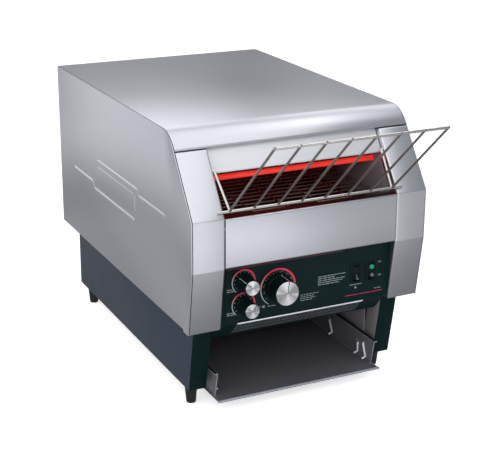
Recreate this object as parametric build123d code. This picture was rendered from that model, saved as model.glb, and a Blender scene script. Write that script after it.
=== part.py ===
"""Countertop conveyor toaster, in millimetres.

Bread goes in at the sloping window in the upper front, rides back on the wire belt between
two rows of heating tubes, drops behind the rear shaft and slides forward down the chute into
the collector tray under the controls.

It is drawn with X to the right, Y running back from the upright part of the front, and Z up
from the floor. Each finished piece is moved so that the origin lies on the floor under the
middle of the whole toaster.
"""

import math
import os

from build123d import *

# ---- overall ----
body_depth = 555.0
side_bottom = 137.5  # of the hood's sides, above the floor
controls_height = 90.5  # from there up to the lower knee of the front
apron_height = 72.0  # from the lower knee to the upper one
window_rise = 107.0  # from the upper knee to the top
foot_height = 29.0

# ---- sheet metal ----
sheet = 1.5  # stainless covers
liner = 1.2  # inner sheets
fit_gap = 0.3  # between a loose piece and its seat
seam_gap = 0.8  # between neighbouring covers
cut_clear = 1.0  # how far a cutter passes the face it cuts
bend = 2.5  # outer bend radius
wire_sides = 8  # flats round thin wires and tubes

# ---- belt ----
belt_width = 254.0
belt_pitch = 15.24
teeth = 10
strand_width = 2.2
strand_thick = 2.4
strand_bits = 5
strand_reach = 8.4  # how far each bit steps forward or back
strand_gap = 0.6
idler_y = 34.0
shaft_drop = 30.0  # the belt's shafts, below the knee
drop_gap = 80.0  # from the rear shaft to the chute
shaft_diameter = 12.0
shaft_run = 0.05  # running clearance
bearing_size = 24.0
bearing_length = 7.0
shaft_end = 9.0  # past the chamber's sides
sprocket_width = 8.0
tooth_root = 3.8  # below the pitch circle
tooth_tip = 2.6  # above the pitch circle
tooth_base = 10.0
tooth_point = 5.0

# ---- front profile ----
lean = 35.0  # slope of the window, degrees from upright
seam_drop = 25.0  # from the top down to where the top cover meets the bezels
nose_radius = 48.0
chin_setback = 14.0
chin_drop = 3.5  # the front reaches this far below the sides
tab_depth = 32.0  # the side panels reach lower in front of this
window_margin = 7.8  # from the belt's edge to the window's
bezel_width = 49.2  # from the window's edge to the hood's side
return_depth = 16.0  # folded edges of the bezels
panel_drop = 1.0  # top of the plain front panel, below the knee
cover_lip = 14.0  # the covers' folded top and bottom edges
baffle_fold = 18.0
bead_width = 5.0  # pressed beads on the sides
bead_proud = 0.8
low_bead = ((480.0, 48.0), (390.0, 48.0), (382.0, 58.0), (211.0, 58.0))  # (y, below the knee)
high_bead = ((364.0, 8.0), (196.0, 8.0), (188.0, 16.0), (92.0, 16.0))
field_rows = (17.0, 50.0)  # plain pressed field between the beads, below the knee
field_front = 206.0
field_rear = 368.0
field_corner = 6.0

# ---- window ----
baffle_setback = 8.0
baffle_tall = 34.2  # from the seam down the slope to the baffle's lower edge
baffle_lip = 10.0
rod_rise = 9.0  # up the slope, from the knee to the rack's lower rod

# ---- base ----
base_inset = 18.0  # from the hood's sides to the base's
base_front = 55.0  # at the foot of the posts
base_slope = 10.0  # the base's front leans back going down, in degrees
base_setback = 28.0  # from the hood's back to the base's
base_lap = 20.5  # how far the base's sides reach up into the hood
post_return = 24.0
rail_margin = 2.2  # from the window's edge out to the rail's inner face
foot_top = 20.0
foot_bottom = 14.0
foot_inset = 13.0
foot_sides = 16
front_foot = 78.0
rear_foot_inset = 28.0

# ---- chamber ----
pan_sink = 0.1  # the electrics pan's floor, below the bottom of the sides
pan_margin = 5.8  # from the chamber's side to the pan's
pan_front = 33.0
pan_setback = 66.0  # from the chute to the back of the pan
deck_drop = 36.0  # heat shield, below the belt's shafts
chamber_drop = 38.0  # below the hood's top
chamber_margin = 8.0  # between the belt's edge and the chamber's side
chute_setback = 40.0  # from the hood's back
heater_diameter = 8.0
heater_play = 0.35
top_heaters = 6
bottom_heaters = 5
first_heater_inset = 26.3  # from the baffle's plane, at the reflector's height
last_heater_inset = 86.0  # from the chute to the last upper tube
heater_inset = 58.0  # from the belt's shafts to the nearest lower tubes
heater_drop = 34.0  # upper tubes, below the chamber's top
insulator_size = 14.0
insulator_length = 8.0
heater_overhang = 4.0  # past the chamber's sides
top_reflector_drop = 17.0
bottom_reflector_drop = 14.0  # below the belt's shafts
reflector_flange = 8.0
reflector_margin = 5.0
reflector_clear = 14.0  # from the belt's loop round a shaft

# ---- control panel ----
panel_setback = 15.0
panel_fold = 14.0
panel_gap = 2.0  # above and below the panel
label_thickness = 0.4
label_margin = 8.3  # from the window's edge to the label's
label_border = 2.0
heat_inset = 34.8  # from the window's left edge
heat_rise = (17.3, -16.6)  # above the panel's middle
speed_inset = 88.3
speed_rise = 0.5
knob_reach = 29.0  # from the label to the cap
knob_gap = 1.5
heat_knob = 23.0
heat_skirt = 26.0
speed_knob = 37.0
speed_skirt = 41.0
skirt_height = 4.0
skirt_slope = 1.0
skirt_wall = 2.0
cap_thick = 1.4
cap_rim = 1.0
stem_diameter = 7.0
stem_run = 0.06
bushing_diameter = 12.0
bushing_reach = 5.0
bushing_flats = 0.9  # of its thread's diameter
control_depth = 24.0
control_wall = 3.0
heat_control_size = 26.0
speed_control_size = 34.0
switch_rise = 0.3
mode_inset = 55.5  # from the window's right edge
power_inset = 30.3
switch_width = 17.0
switch_height = 28.0
switch_depth = 26.0
switch_flange = 1.8
switch_bezel = 1.4
switch_wall = 1.6
switch_back = 8.0
rocker_throw = 20.0  # degrees
rocker_radius = 12.0
rocker_setback = 4.0  # from the label back to the rocker's pivot
rocker_pivot = 2.4
rocker_depth = 7.0
rocker_dish = 2.2
lamp_diameter = 7.0
lamp_depth = 2.0

# ---- feed rack ----
rack_rod = 4.0
rack_wire = 3.4
rack_length = 173.5
rack_slope = 42.7
rack_wires = 8
pin_reach = 9.2  # the lower rod's ends, past the window's edges
arm_inset = 0.5  # foot of the arms, from the rack's edge
arm_clear = 3.2  # top of the arms, from the window's edge
hook_reach = 6.7  # the hooks, past the window's edge
hook_drop = 30.4  # down the slope from the seam
hook_play = 0.4
wire_overrun = 2.5

# ---- collector tray and chute ----
tray_front = 24.0
tray_length = 300.0
tray_sink = 12.0  # the tray's underside, below the base's
tray_margin = 4.0  # from the rail to the tray's side
tray_ledge = 4.0  # floor outside the tray's walls
tray_wall_front = 36.0
tray_wall_rake = 9.0
tray_depth = 40.0
tray_flange = 5.0
tray_hem = 3.2
tray_slots = ((81.0, 80.0), (66.0, 57.0), (171.0, 159.0))  # y at the top and at the foot
slot_top = 12.0  # below the wall's top
slot_foot = 33.0
slot_width = 3.0
runner_ledge = 5.0
runner_height = 12.0
chute_radius = 110.0
chute_slope = 14.0
chute_rise = 62.0  # top of the chute, above the belt's shafts
chute_lift = 15.5  # foot of the chute, above the tray's underside
chute_lap = 2.0
grille_front = 30.0
grille_back = 52.0
grille_drop = 5.5  # top of the grille, below the hood's sides
grille_fall = 25.0
grille_inset = 35.0  # from the rails to the ends of the grille
grille_lip = 3.0
grille_rows = 3
grille_columns = 17
grille_slot = (7.0, 3.0)
grille_first = 0.28  # first and next rows, as shares of the slope
grille_step = 0.24
grille_turn = 35.0  # degrees
ceiling_inset = 72.0  # from the chute to the back of the ceiling

# ---- drive and cooling ----
motor_ahead = 70.0  # least distance in front of the belt's rear shaft
motor_offset = 4.0  # output shaft, below the gearbox's middle
chain_pitch = 9.525
motor_teeth = 10
shaft_teeth = 16
roller_diameter = 5.0
chain_reach = 19.8  # from the chamber's side to the middle of the chain
chain_inner = 4.8  # between its side plates
chain_plate = 1.0
chain_height = 7.0
chain_steps = 8
tooth_seat = 0.3  # of a roller's diameter, either side of its seat
chain_tooth = 0.12  # of the pitch, above the pitch circle
gearbox = (46.0, 62.0, 74.0)
motor_can = 64.0
motor_length = 70.0
output_diameter = 10.0
output_clear = 3.0
output_depth = 20.0
stub_end = 6.0  # shafts, past the middle of the chain
fan_size = 80.0
fan_depth = 25.0
fan_wall = 3.0
fan_hub = 30.0
fan_hub_back = 3.0
fan_pin = 5.0
fan_arm = (2.0, 4.0)
fan_blades = 7
fan_tip_gap = 1.5
blade_width = 18.0
blade_thick = 1.6
blade_pitch = 35.0
blade_root = 2.0  # into the hub
fan_x = 70.0
fan_rise = 48.5  # above the bottom of the hood
fan_slots = 6
bushing_inset = 64.0  # from the left side
bushing_rise = 32.5
bushing_outer = 22.0
bushing_neck = 17.4
bushing_lip = 2.0
bushing_bore = 10.0
louvre_rows = 5
louvre_length = 90.0
louvre_height = 5.0
louvre_pitch = 14.0
louvre_drop = 110.0  # lowest louvre, below the top
louvre_spread = 54.0
terminal_size = (60.0, 24.0, 22.0)
terminal_x = -80.0
terminal_inset = 66.0

# ---- worked out from the sizes above ----
low_knee_height = side_bottom + controls_height
knee_height = low_knee_height + apron_height
body_top = knee_height + window_rise
chin_height = side_bottom - chin_drop
half_belt = belt_width / 2
half_window = half_belt + window_margin
half_width = half_window + bezel_width
side_inner = half_width - sheet
cover_half = side_inner - seam_gap
panel_half = half_window - seam_gap
half_base = half_width - base_inset
base_inner = half_base - sheet
base_rear = body_depth - base_setback
base_top = side_bottom + base_lap
rear_foot = base_rear - rear_foot_inset
rail_web = half_window + rail_margin  # inner face of the frame rails
rail_outer = rail_web + liner
post_inner = rail_outer + seam_gap
chamber_inner = half_belt + chamber_margin
chamber_outer = chamber_inner + liner
chamber_top = body_top - chamber_drop
top_heater_z = chamber_top - heater_drop
reflector_z = chamber_top - top_reflector_drop
chute_back = body_depth - chute_setback
half_pan = chamber_outer + pan_margin
pan_bottom = side_bottom - pan_sink
pan_rear = chute_back - pan_setback
sin_lean = math.sin(math.radians(lean))
cos_lean = math.cos(math.radians(lean))
baffle_y = ((reflector_z - knee_height) * sin_lean + baffle_setback) / cos_lean
first_heater = baffle_y + first_heater_inset
shaft_z = knee_height - shaft_drop
deck_height = shaft_z - deck_drop
rod_radius = belt_pitch / (2 * math.sin(math.pi / teeth))  # where the teeth push
belt_radius = math.sqrt(rod_radius**2 - strand_reach**2)  # middle of each strand, from the shaft
straight_links = math.floor((chute_back - drop_gap - idler_y) / belt_pitch)
drive_y = idler_y + straight_links * belt_pitch
chain_x = chamber_outer + chain_reach
shaft_tip = chain_x + stub_end
fan_bore = fan_size - 2 * fan_wall
fan_z = side_bottom + fan_rise
bushing_z = side_bottom + bushing_rise
bushing_x = bushing_inset - half_width
tray_half = rail_web - tray_margin
tray_wall = tray_half - tray_ledge  # inner face of its walls
tray_bottom = foot_height - tray_sink
tray_top = tray_bottom + tray_depth
chute_low = tray_bottom + chute_lift
grille_half = rail_web - grille_inset
grille_top = (grille_front, side_bottom - grille_drop)
grille_low = (grille_back, side_bottom - grille_drop - grille_fall)
panel_bottom = side_bottom + panel_gap
panel_top = low_knee_height - panel_gap
panel_middle = (panel_bottom + panel_top) / 2
heat_x = heat_inset - half_window
speed_x = speed_inset - half_window
mode_switch_x = half_window - mode_inset
power_switch_x = half_window - power_inset
heat_z = [panel_middle + rise for rise in heat_rise]
speed_z = panel_middle + speed_rise
switch_z = panel_middle + switch_rise
label_front = panel_setback - label_thickness
front_panel_top = knee_height - panel_drop


def slope_point(along, out):
    """The (y, z) point that far up the sloping window from the knee, and that far out from its face."""
    return (along * sin_lean - out * cos_lean, knee_height + along * cos_lean + out * sin_lean)


seam_along = (body_top - seam_drop - knee_height) / cos_lean
corner_along = (body_top - knee_height) / cos_lean
baffle_low = seam_along - baffle_tall
baffle_high = seam_along - (fit_gap - baffle_setback * sin_lean) / cos_lean
hook_inset = sheet + rack_rod / 2 + fit_gap
hook_point = slope_point(seam_along - hook_drop, -hook_inset)
rack_foot = slope_point(rod_rise, rack_rod / 2 + fit_gap)
rack_run = rack_length * math.cos(math.radians(rack_slope))
rack_lift = rack_length * math.sin(math.radians(rack_slope))
rack_top = (rack_foot[0] - rack_run, rack_foot[1] + rack_lift)
front_most = rack_top[0] - rack_rod / 2
origin_y = (front_most + body_depth) / 2


# ---- drawing helpers ----
def block(x0, x1, y0, y1, z0, z1):
    """A rectangular block between two corners."""
    return Pos((x0 + x1) / 2, (y0 + y1) / 2, (z0 + z1) / 2) * Box(abs(x1 - x0), abs(y1 - y0), abs(z1 - z0))


def along_x(face, x0, x1):
    """Carries a face drawn in the side view from x0 to x1."""
    return Pos(min(x0, x1), 0, 0) * extrude(face, abs(x1 - x0), dir=(1, 0, 0))


def prism(outline, x0, x1):
    """A side view, drawn as (y, z) points, carried from x0 to x1."""
    return along_x(make_face(Plane.YZ * Polyline(*outline, close=True)), x0, x1)


def folded(path, thickness, x0, x1, side=Side.RIGHT, radius=bend):
    """Sheet folded along a side view path of (y, z) points, inside the bends, or outside with Side.LEFT."""
    if radius:
        line = Plane.YZ * FilletPolyline(*path, radius=radius)
    else:
        line = Plane.YZ * Polyline(*path)
    return along_x(make_face(offset(line, amount=thickness, side=side, closed=True)), x0, x1)


def rod_x(diameter, x0, x1, y, z):
    """A round bar along X."""
    return Pos((x0 + x1) / 2, y, z) * Cylinder(diameter / 2, abs(x1 - x0), rotation=(0, 90, 0))


def rod_y(diameter, x, y0, y1, z):
    """A round bar along Y."""
    return Pos(x, (y0 + y1) / 2, z) * Cylinder(diameter / 2, abs(y1 - y0), rotation=(90, 0, 0))


def wire(start, end, diameter, sides=wire_sides):
    """A straight wire from one point to another, as a prism of a few sides about as thick as the wire."""
    line = Line(start, end)
    section = RegularPolygon(diameter / 2 / math.cos(math.pi / sides / 2), sides)
    return extrude(Plane(origin=start, z_dir=line % 0) * section, line.length)


def mirrored(shape):
    """The same piece for the other side."""
    return mirror(shape, about=Plane.YZ)


pieces = {}


def add(name, shape):
    """Keeps a finished piece, moved to the toaster's own origin."""
    pieces[name] = Pos(0, -origin_y, 0) * shape


def add_pair(name, right):
    """Keeps a piece of the right side and its mirror image on the left."""
    add("right_" + name, right)
    add("left_" + name, mirrored(right))


# ---- hood ----
def side_panel():
    """Flat right side of the hood, with a pressed bead pattern and a bottom flange."""
    corner = slope_point(corner_along, 0)
    nose = FilletPolyline((body_depth, body_top), corner, (0, knee_height), radius=nose_radius)
    rest = Polyline(
        (0, knee_height),
        (0, low_knee_height),
        (chin_setback, chin_height),
        (tab_depth, chin_height),
        (tab_depth, side_bottom),
        (body_depth, side_bottom),
        (body_depth, body_top),
    )
    panel = along_x(make_face(Plane.YZ * Curve([nose, rest])), side_inner, half_width)
    inner, rear = half_base + fit_gap, body_depth - sheet
    flange = block(inner, side_inner, tab_depth, rear, side_bottom, side_bottom + sheet)
    return panel + flange + side_beads()


def side_beads():
    """Two long pressed beads that jog past the ends of a plain raised field between them."""
    high, low = field_rows
    field = RectangleRounded(field_rear - field_front, low - high, field_corner)
    sketch = Pos((field_front + field_rear) / 2, knee_height - (low + high) / 2) * field
    for bead in (low_bead, high_bead):
        sketch += trace(Polyline(*[(y, knee_height - drop) for y, drop in bead]), bead_width)
    return Pos(half_width, 0, 0) * extrude(Plane.YZ * sketch, bead_proud, dir=(1, 0, 0))


def top_cover():
    """Top sheet, rolled over the nose and folded in at the seam above the window."""
    seam = slope_point(seam_along, 0)
    path = ((seam[0] + cover_lip, seam[1]), seam, slope_point(corner_along, 0), (body_depth, body_top))
    return folded(path, sheet, -cover_half, cover_half, radius=[bend, nose_radius])


def rear_panel():
    """Back sheet with its top and bottom flanges, the fan's grille, louvres and the cord's hole."""
    top = body_top - sheet - fit_gap
    bottom = side_bottom + sheet + fit_gap
    face = ((body_depth, top), (body_depth, bottom))
    path = ((body_depth - cover_lip, top), *face, (base_rear + fit_gap, bottom))
    panel = folded(path, sheet, -cover_half, cover_half, radius=None)
    front, rear = body_depth - sheet - cut_clear, body_depth + cut_clear
    for row in range(louvre_rows):
        z = body_top - louvre_drop + row * louvre_pitch
        for x in (-louvre_spread, louvre_spread):
            half = louvre_length / 2
            panel -= block(x - half, x + half, front, rear, z, z + louvre_height)
    panel -= fan_grille(front, rear)
    return panel - rod_y(bushing_neck + 2 * fit_gap, bushing_x, front, rear, bushing_z)


def fan_grille(front, rear):
    """Slots in front of the fan, cut short to a circle."""
    slots = Sketch()
    pitch = fan_bore / fan_slots
    for i in range(fan_slots):
        z = (i - (fan_slots - 1) / 2) * pitch
        chord = 2 * math.sqrt((fan_bore / 2) ** 2 - z**2)
        slots += Pos(0, z) * Rectangle(chord, pitch / 2)
    plane = Plane(origin=(fan_x, rear, fan_z), x_dir=(1, 0, 0), z_dir=(0, -1, 0))
    return extrude(plane * slots, rear - front)


def bezel():
    """Right stainless column beside the window and the controls, folded from one sheet."""
    seam = slope_point(seam_along - seam_gap, 0)
    facets = [seam, (0, knee_height), (0, low_knee_height), (chin_setback, chin_height)]
    upper_lip, lower_lip = (seam[0] + cover_lip, seam[1]), (chin_setback + cover_lip, chin_height)
    face = folded([upper_lip, *facets, lower_lip], sheet, half_window, cover_half)
    inner = [(y + return_depth, z) for y, z in reversed(facets)]
    edge = [(y + sheet / 2, z) for y, z in facets]
    flange = prism(edge + inner, half_window, half_window + sheet)
    start, end = half_window - cut_clear, half_window + sheet + cut_clear
    return face + flange - rod_x(rack_rod + 2 * hook_play, start, end, *hook_point)


def front_panel():
    """Plain stainless panel under the window, with returned edges."""
    top, low = front_panel_top, low_knee_height
    path = ((return_depth, top), (0, top), (0, low), (return_depth - bend, low))
    return folded(path, sheet, -panel_half, panel_half)


def throat_baffle():
    """Sheet behind the window's upper part, from the top cover's lip to a fold over the bread."""
    top = slope_point(baffle_high, -baffle_setback)
    low = slope_point(baffle_low, -baffle_setback)
    path = ((top[0] + baffle_fold, top[1]), top, low, (low[0] + baffle_lip, low[1]))
    return folded(path, liner, -panel_half, panel_half, radius=None)


# ---- control panel ----
def control_places():
    """(x, z) of the three rotary controls."""
    return [(heat_x, heat_z[0]), (heat_x, heat_z[1]), (speed_x, speed_z)]


def control_holes():
    """Everything that passes through the panel and its label, as cutters."""
    front, rear = label_front - cut_clear, panel_setback + sheet + cut_clear
    hole = bushing_diameter + 2 * fit_gap
    holes = [rod_y(hole, x, front, rear, z) for x, z in control_places()]
    half = switch_width / 2 - switch_flange + fit_gap
    tall = switch_height / 2 - switch_flange + fit_gap
    for x in (mode_switch_x, power_switch_x):
        holes.append(block(x - half, x + half, front, rear, switch_z - tall, switch_z + tall))
    return holes


def control_panel():
    """Black steel plate behind the controls, folded back at its top and bottom."""
    front, back = panel_setback, panel_setback + panel_fold
    path = ((back, panel_top), (front, panel_top), (front, panel_bottom), (back, panel_bottom))
    return folded(path, sheet, -panel_half, panel_half, radius=None) - control_holes()


def panel_label():
    """Thin printed overlay."""
    half = half_window - label_margin
    low, high = panel_bottom + label_border, panel_top - label_border
    return block(-half, half, label_front, panel_setback, low, high) - control_holes()


def control_body(x, z, size):
    """Rotary control behind the panel, with a threaded bushing through it."""
    back = panel_setback + sheet
    body = Pos(x, back + control_depth / 2, z) * Box(size, control_depth, size)
    front = label_front - bushing_reach
    neck = wire((x, front, z), (x, back + cut_clear, z), bushing_diameter * bushing_flats, 6)
    bore = rod_y(stem_diameter + 2 * stem_run, x, front - cut_clear, back + control_depth - control_wall, z)
    return body + neck - bore


def knob(x, z, diameter, skirt):
    """Turned knob with a wider skirt and a hollow back. Its stem runs into the control."""
    front = label_front - knob_reach + cap_thick
    rear = label_front - knob_gap
    hollow, roof = skirt / 2 - skirt_wall, rear - bushing_reach - cut_clear
    stem, end = stem_diameter / 2, panel_setback + sheet + control_depth - control_wall - cut_clear
    outline = [
        (0, front),
        (diameter / 2, front),
        (diameter / 2, rear - skirt_height),
        (skirt / 2, rear - skirt_height + skirt_slope),
        (skirt / 2, rear),
        (hollow, rear),
        (hollow, roof),
        (stem, roof),
        (stem, end),
        (0, end),
    ]
    face = make_face(Polyline(*outline, close=True))
    return Pos(x, 0, z) * revolve(face, Axis.Y)


def knob_cap(x, z, diameter):
    """Spun metal disc on the knob's face."""
    front = label_front - knob_reach
    return rod_y(diameter - 2 * cap_rim, x, front, front + cap_thick, z)


def switch_housing(x):
    """Flanged switch body, open at the front for its rocker, with the rocker's pivot pin."""
    half, tall = switch_width / 2, switch_height / 2
    front, rear = label_front, label_front + switch_depth
    inner, inner_tall = half - switch_flange, tall - switch_flange
    pocket_half, pocket_tall = inner - switch_wall, rocker_radius + fit_gap
    z = switch_z
    flange = block(x - half, x + half, front - switch_bezel, front, z - tall, z + tall)
    body = block(x - inner, x + inner, front, rear, z - inner_tall, z + inner_tall)
    start, end = front - switch_bezel - cut_clear, rear - switch_back
    pocket = block(x - pocket_half, x + pocket_half, start, end, z - pocket_tall, z + pocket_tall)
    reach = pocket_half + switch_wall / 2
    pin = rod_x(rocker_pivot, x - reach, x + reach, front + rocker_setback, z)
    return flange + body - pocket + pin


def rocker(x):
    """Rocker with a dished face, at rest with its upper half pressed in."""
    half = switch_width / 2 - switch_flange - switch_wall - fit_gap
    disc = Circle(rocker_radius)
    tall = rocker_radius + cut_clear
    keep = Polygon(
        (-rocker_depth + rocker_dish, 0),
        (-rocker_depth - rocker_dish, tall),
        (rocker_depth, tall),
        (rocker_depth, -tall),
        (-rocker_depth - rocker_dish, -tall),
        align=None,
    )
    hole = Circle(rocker_pivot / 2 + shaft_run)
    face = Plane.YZ * (Rot(0, 0, -rocker_throw / 2) * (disc & keep) - hole)
    return Pos(0, label_front + rocker_setback, switch_z) * along_x(face, x - half, x + half)


def lamp_seat(diameter, depth):
    """A round plug in the upper half of the power rocker's face, square to the rocker's middle plane."""
    front, rear = -rocker_depth - rocker_dish, depth - rocker_depth
    plug = rod_y(diameter, power_switch_x, front, rear, rocker_radius / 2)
    return Pos(0, label_front + rocker_setback, switch_z) * Rot(-rocker_throw / 2, 0, 0) * plug


# ---- feed rack ----
def feed_rack():
    """Welded wire rack: eight sloping wires between two rods, with arms hooked into the bezels."""
    (y0, z0), (y1, z1) = rack_foot, rack_top
    pins, top_half = half_window + pin_reach, half_belt + rack_rod / 2
    rack = wire((-pins, y0, z0), (pins, y0, z0), rack_rod)
    rack += wire((-top_half, y1, z1), (top_half, y1, z1), rack_rod)
    step = belt_width / (rack_wires - 1)
    over = 1 + wire_overrun / rack_length
    for i in range(rack_wires):
        x = i * step - half_belt
        end = (x, y0 + (y1 - y0) * over, z0 + (z1 - z0) * over)
        rack += wire((x, y0, z0), end, rack_wire)
    foot, top, hook = half_belt - arm_inset, half_window - arm_clear, half_window + hook_reach
    for side in (-1, 1):
        rack += wire((side * foot, y0, z0), (side * top, *hook_point), rack_rod)
        rack += wire((side * (top - rack_rod / 2), *hook_point), (side * hook, *hook_point), rack_rod)
    return rack


# ---- belt ----
def strand_face():
    """One crenellated strand in plan: bits that step forward and back, joined by steep legs."""
    leg = 2 * strand_reach * math.tan(math.asin((strand_width + strand_gap) / belt_pitch))
    step = belt_width / strand_bits
    points = []
    for i in range(strand_bits):
        u = strand_reach if i % 2 == 0 else -strand_reach
        x0 = -half_belt + i * step
        points.append((x0 + (leg / 2 if i else 0), u))
        points.append((x0 + step - (leg / 2 if i < strand_bits - 1 else 0), u))
    line = Polyline(*points)
    ribbon = offset(line, strand_width, side=Side.LEFT, kind=Kind.INTERSECTION, closed=True)
    return Pos(0, -strand_width / 2) * make_face(ribbon)


def strand_places():
    """Where each strand lies round the two shafts: (y, z, degrees that its travel points down)."""
    turn = 360 / teeth
    half_turn = teeth // 2
    places = []
    for k in range(straight_links):
        places.append((idler_y + (k + 0.5) * belt_pitch, shaft_z + belt_radius, 0))
        places.append((drive_y - (k + 0.5) * belt_pitch, shaft_z - belt_radius, 180))
    for k in range(half_turn):
        a = math.radians((k + 0.5) * turn)
        dy, dz = belt_radius * math.sin(a), belt_radius * math.cos(a)
        places.append((drive_y + dy, shaft_z + dz, (k + 0.5) * turn))
        places.append((idler_y - dy, shaft_z - dz, 180 + (k + 0.5) * turn))
    return places


def conveyor_belt():
    """Wire belt of interlocked strands, wrapped round the sprockets."""
    strand = extrude(strand_face(), strand_thick / 2, both=True)
    return Compound([Pos(0, y, z) * Rot(-angle, 0, 0) * strand for y, z, angle in strand_places()])


def sprocket_lead():
    """How far the rods that the teeth push lie behind the middle of their strands, in degrees."""
    return math.degrees(math.atan2(strand_reach, belt_radius))


def sprocket_places():
    """The strand bits that lean back, one sprocket in the middle of each."""
    step = belt_width / strand_bits
    return [(i + 0.5) * step - half_belt for i in range(1, strand_bits, 2)]


def belt_sprocket():
    """Toothed wheel in the side view, centred on its shaft. Each tooth stands between two rods."""
    root, tip = rod_radius - tooth_root, rod_radius + tooth_tip
    base, point = tooth_base / 2, tooth_point / 2
    tooth = [(root, -base), (tip, -point), (tip, point), (root, base)]
    first = 90 - (360 / teeth - sprocket_lead())
    outline = []
    for k in range(teeth):
        turn = math.radians(first + k * 360 / teeth)
        c, s = math.cos(turn), math.sin(turn)
        outline += [(r * c - w * s, r * s + w * c) for r, w in tooth]
    return Plane.YZ * (make_face(Polyline(*outline, close=True)) - Circle(shaft_diameter / 2))


def belt_sprockets(y):
    """The two toothed wheels of one shaft."""
    wheel = extrude(belt_sprocket(), sprocket_width / 2, both=True)
    return Compound([Pos(x, y, shaft_z) * wheel for x in sprocket_places()])


def bearings():
    """Bearing blocks that carry the shafts outside the chamber's sides."""
    found = []
    half = bearing_size / 2
    for y in (idler_y, drive_y):
        for side in (-1, 1):
            start, end = side * (chamber_outer + fit_gap), side * (chamber_outer + bearing_length)
            shell = block(start, end, y - half, y + half, shaft_z - half, shaft_z + half)
            bore = shaft_diameter + 2 * shaft_run
            found.append(shell - rod_x(bore, start - side * cut_clear, end + side * cut_clear, y, shaft_z))
    return Compound(found)


# ---- chamber ----
def heater_places():
    """(y, z) of every tube: the upper row, then the lower row between the belt's two runs."""
    last = chute_back - last_heater_inset
    step = (last - first_heater) / (top_heaters - 1)
    upper = [(first_heater + k * step, top_heater_z) for k in range(top_heaters)]
    first, last = idler_y + heater_inset, drive_y - heater_inset
    step = (last - first) / (bottom_heaters - 1)
    lower = [(first + k * step, shaft_z) for k in range(bottom_heaters)]
    return upper, lower


def chamber_plate():
    """Right side of the toasting chamber, drilled for the shafts and the heating tubes."""
    front, rear = return_depth + seam_gap, chute_back - fit_gap
    low = deck_height + fit_gap
    outline = [
        (front, low),
        (front, knee_height),
        (front + (chamber_top - knee_height) * sin_lean / cos_lean, chamber_top),
        (rear, chamber_top),
        (rear, low),
    ]
    plate = prism(outline, chamber_inner, chamber_outer)
    start, end = chamber_inner - cut_clear, chamber_outer + cut_clear
    for y in (idler_y, drive_y):
        plate -= rod_x(shaft_diameter + 2 * seam_gap, start, end, y, shaft_z)
    half = heater_diameter / 2 + heater_play
    for row in heater_places():
        for y, z in row:
            plate -= block(start, end, y - half, y + half, z - half, z + half)
    return plate


def heaters(places):
    """A row of straight tubes that pass through the chamber's sides."""
    reach = chamber_outer + heater_overhang
    return Compound([wire((-reach, y, z), (reach, y, z), heater_diameter) for y, z in places])


def insulators():
    """Ceramic ends of every tube, outside the chamber."""
    reach = chamber_outer + heater_overhang + insulator_length / 2
    end = Box(insulator_length, insulator_size, insulator_size)
    upper, lower = heater_places()
    return Compound([Pos(side * reach, y, z) * end for y, z in upper + lower for side in (-1, 1)])


def reflector(y0, y1, z):
    """Bright sheet behind a row of tubes, with flanged ends against the chamber's sides."""
    half = chamber_inner - fit_gap
    tray = block(-half, half, y0, y1, z, z + liner)
    for side in (-1, 1):
        tray += block(side * half, side * (half - liner), y0, y1, z, z + reflector_flange)
    return tray


def electrics_pan():
    """Channel under the chamber for the controls and the gearmotor, closed at the back."""
    top = deck_height - liner
    pan = block(-half_pan, half_pan, pan_front, pan_rear, pan_bottom, pan_bottom + liner)
    for side in (-1, 1):
        pan += block(side * half_pan, side * (half_pan - liner), pan_front, pan_rear, pan_bottom, top)
    pan += block(-half_pan, half_pan, pan_rear - liner, pan_rear, pan_bottom, top)
    start, end = half_pan - liner - cut_clear, half_pan + cut_clear
    return pan - rod_x(output_diameter + 2 * output_clear, start, end, *motor_place())


def deck():
    """Heat shield between the chamber and the electrics."""
    front = return_depth + seam_gap
    return block(-half_pan, half_pan, front, pan_rear, deck_height - liner + fit_gap, deck_height)


def terminal_block():
    """Block on the pan's floor where the supply wires end."""
    wide, deep, tall = terminal_size
    z = pan_bottom + liner + tall / 2
    return Pos(terminal_x, pan_rear - terminal_inset, z) * Box(wide, deep, tall)


# ---- drive ----
def gearbox_z():
    """Height of the gearbox's middle, on the pan's floor."""
    return pan_bottom + liner + fit_gap + gearbox[2] / 2


def chain_span(links):
    """Distance between the gearmotor's shaft and the belt's, for that many links of chain."""
    few, many = motor_teeth, shaft_teeth
    part = links - (few + many) / 2
    return chain_pitch / 4 * (part + math.sqrt(part**2 - 2 * ((many - few) / math.pi) ** 2))


def motor_place():
    """(y, z) of the gearmotor's output shaft, where a whole chain with an even number of links is tight."""
    z = gearbox_z() - motor_offset
    drop = shaft_z - z
    least = math.hypot(drop, motor_ahead - chain_pitch / 2)
    links = motor_teeth + shaft_teeth
    while chain_span(links) < least:
        links += 2
    return drive_y - math.sqrt(chain_span(links) ** 2 - drop**2), z


def pitch_circle(count):
    """Radius of the circle that the chain's pins follow round a wheel."""
    return chain_pitch / (2 * math.sin(math.pi / count))


def chain_wheel(count, bore):
    """Roller chain sprocket, centred on its shaft, with pointed teeth between the rollers' seats."""
    radius = pitch_circle(count)
    seat = tooth_seat * roller_diameter
    root, tip = radius - roller_diameter / 2, radius + chain_tooth * chain_pitch
    outline = []
    for k in range(count):
        for part, reach in ((-seat, root), (seat, root), (chain_pitch / 2, tip)):
            turn = (k + part / chain_pitch) * 2 * math.pi / count
            outline.append((reach * math.cos(turn), reach * math.sin(turn)))
    wheel = make_face(Polyline(*outline, close=True))
    if bore:
        wheel -= Circle(bore / 2)
    return extrude(Plane.YZ * wheel, chain_inner / 2 - fit_gap, both=True)


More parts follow.
